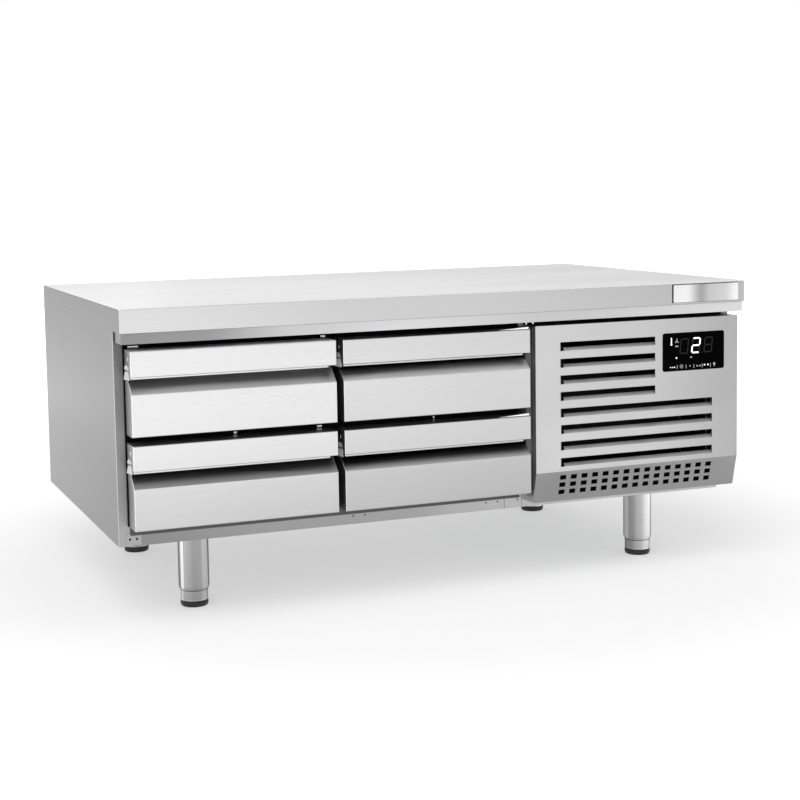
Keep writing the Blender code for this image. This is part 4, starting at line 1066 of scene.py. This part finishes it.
def compressor():
    """The hermetic compressor on its foot, with its seam, terminal cover, grommets and stubs."""
    low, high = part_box("compressor")
    x, y = (low.x + high.x) / 2, high.y - 0.0853
    radius, foot, sunk = 0.082, 0.004, 0.0005
    base, height = low.z + foot - sunk, high.z - low.z - foot + sunk
    middle, top = base + height / 2, base + height

    def around(middle, half):
        return middle - half, middle + half

    outline = [(radius * share, base + height * rise) for share, rise in shell_shares]
    shapes = [
        turned(outline, (x, y, 0), steps=72),
        plate((low.x, high.x), around(y, 0.03), (low.z, low.z + foot), 0.0015, 3),
        plate(around(x, 0.03), (low.y, y - 0.07), around(middle, 0.03), 0.004, 4),
        plate(around(x, 0.0265), (low.y - 0.0012, low.y + 0.001), around(middle, 0.0265), 0.001),
    ]
    piece("compressor_shell", joined(*shapes), black_paint, "black_paint", "compressor")
    (left, right), back, front = around(x, 0.031), y - 0.078, low.y - 0.0022
    route = [(left, back, middle), (left, front, middle), (right, front, middle), (right, back, middle)]
    piece("compressor_cover_wire", pipe(rounded_route(route, 0.006), 0.0011), zinc, "stainless_bright")
    feet = [(foot_x, y, low.z + foot) for foot_x in (low.x + 0.01, high.x - 0.01)]
    for name, profile, steps, finish, slot in (
        ("grommets", grommet, 24, pad_rubber, "black_plastic"), ("bolts", bolt, 6, zinc, "stainless_bright")
    ):
        turnings = [turned(profile, spot, steps=steps) for spot in feet]
        piece(f"compressor_{name}", joined(*turnings), finish, slot)
    left, back, level = x - 0.045, y + 0.03, top + 0.014
    route = [(left, back, top - 0.022), (left, back, level), (left, y - 0.02, level)]
    stubs = [pipe(rounded_route(route, 0.01), 0.0036), turned(cap, (x, y, top), steps=32)]
    low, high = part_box("discharge_pipe")
    tube, bend, condenser = 0.004, 0.016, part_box("condenser")[1]
    level, inlet, east, front = high.z - tube, condenser.z - 0.03, high.x - tube, low.y + tube
    line = rounded_route(
        [(x, y, low.z), (x, y, level), (east, y, level), (east, front, level), (east, front, inlet),
         (condenser.x, front, inlet)], bend, steps=8,
    )
    piece("discharge_pipe_bent", pipe(line, tube), copper, "copper", "discharge_pipe")
    stubs.append(turned(collar, (condenser.x, front, inlet), "X", 32))
    piece("compressor_stubs", joined(*stubs), copper, "copper")


def electrical_box():
    """The closed box for the terminals, with its lid, screws and cable glands."""
    low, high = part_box("electrical_box")
    folded("electrical_box", black_plastic, "black_plastic", 0.0025)
    inset, screw_inset, sunk, proud, head_seat = 0.003, 0.01, 0.001, 0.0022, 0.002
    _, lid_ys, lid_zs = within(low, high, 0, inset, inset)
    lid = plate((high.x - sunk, high.x + proud), lid_ys, lid_zs, 0.0018, 3)
    piece("electrical_box_lid", lid, black_plastic, "black_plastic")
    _, screw_ys, screw_zs = within(low, high, 0, screw_inset, screw_inset)
    heads = [rivet((high.x + head_seat, y, z), "X", 1) for y in screw_ys for z in screw_zs]
    piece("electrical_box_screws", joined(*heads), zinc, "stainless_bright")
    gland = mm(
        (0, 1), (8.5, 1), (8.5, -3), (7.2, -4), (7.2, -10), (6, -12.5), (3, -12.5), (2.6, -8), (0, -8),
    )
    spots = [((low.x + high.x) / 2, low.y + depth, low.z) for depth in (0.025, 0.06, 0.095)]
    glands = [turned(gland, spot, steps=24) for spot in spots]
    piece("electrical_box_glands", joined(*glands), black_plastic, "black_plastic")


# Legs: radius and height over the floor, and for the flange radius and depth under the tube's top
flange = mm((0, 0), (42.4, 0), (43, 0.6), (43, 2.6), (42.4, 3.2), (29, 3.4), (27.6, 4.4), (27, 6.2))
swaged_end = mm(
    (27, 36), (26.4, 33.5), (25.2, 31.2), (24.8, 30), (24.3, 30), (24.3, 60), (24.2, 130), (0, 130),
)
stop_ring = mm((24.2, 30), (24.7, 29.8), (24.7, 29), (24.2, 28.8), (24.2, 30))
sleeve = mm(
    (0, 85), (23.2, 85), (24, 84.2), (24, 14.8), (23.6, 14), (23.6, 12.8), (24, 12), (24, 11),
    (23.2, 10.3), (0, 10.3),
)
pad = mm(
    (0, 10), (23.6, 10), (24.5, 9.2), (24.7, 7), (24.5, 4), (23.8, 1.6), (22.2, 0), (12, 0), (11.2, 0.8),
    (0, 0.8),
)
screw_circle, screw_depth, screw_head = 0.0345, 0.0032, 0.0032


def leg(number):
    """The tube with its swaged end and flange, the sleeve that screws into it, and the pad."""
    low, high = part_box(f"leg_tube_{number}")
    x, y = (low.x + high.x) / 2, (low.y + high.y) / 2
    # The left and the right legs carry different painted highlights.
    steel, foot = left_tubes if x < 0 else right_tubes, f"foot_{number}"

    def around(profile):
        return turned(profile, (x, y, 0), steps=72)

    tube = around([(radius, high.z - depth) for radius, depth in flange] + swaged_end)
    piece(f"leg_{number}_tube", tube, steel, "stainless", f"leg_tube_{number}")
    piece(f"leg_{number}_ring", around(stop_ring), black_trim, "black_plastic")
    screws = []
    for turn in (pi / 4, 3 * pi / 4, 5 * pi / 4, 7 * pi / 4):
        spot = (x + screw_circle * cos(turn), y + screw_circle * sin(turn), high.z - screw_depth)
        screws.append(rivet(spot, "Z", -1, screw_head))
    piece(f"leg_{number}_screws", joined(*screws), steel_tube, "stainless_bright")
    sleeve_node = f"foot_sleeve_{number}"
    piece(f"leg_{number}_sleeve", around(sleeve), steel, "stainless_bright", sleeve_node, body=foot)
    piece(f"leg_{number}_pad", around(pad), pad_rubber, "black_plastic", f"foot_pad_{number}", body=foot)


place_camera()
studio()
for node, finish in (
    ("back_panel", steel_side), ("front_frame", steel_rail), ("machine_frame", steel_rail),
    ("base_panel", steel_inside), ("ceiling_panel", steel_inside), ("partition", steel_inside),
    ("divider", steel_inside),
):
    folded(node, finish, "stainless")
folded("unit_tray", zinc, "galvanised")
worktop()
nameplate()
side_panels()
gap_trims()
rail_fittings()
machine_panel()
vent_baffle()
back_screws()
controller()
for number in drawer_numbers:
    drawer(number)
    drawer_box(number)
    leg(number)
runners_and_racks()
cooling_unit()
compressor()
electrical_box()
scene.view_settings.view_transform = "Standard"
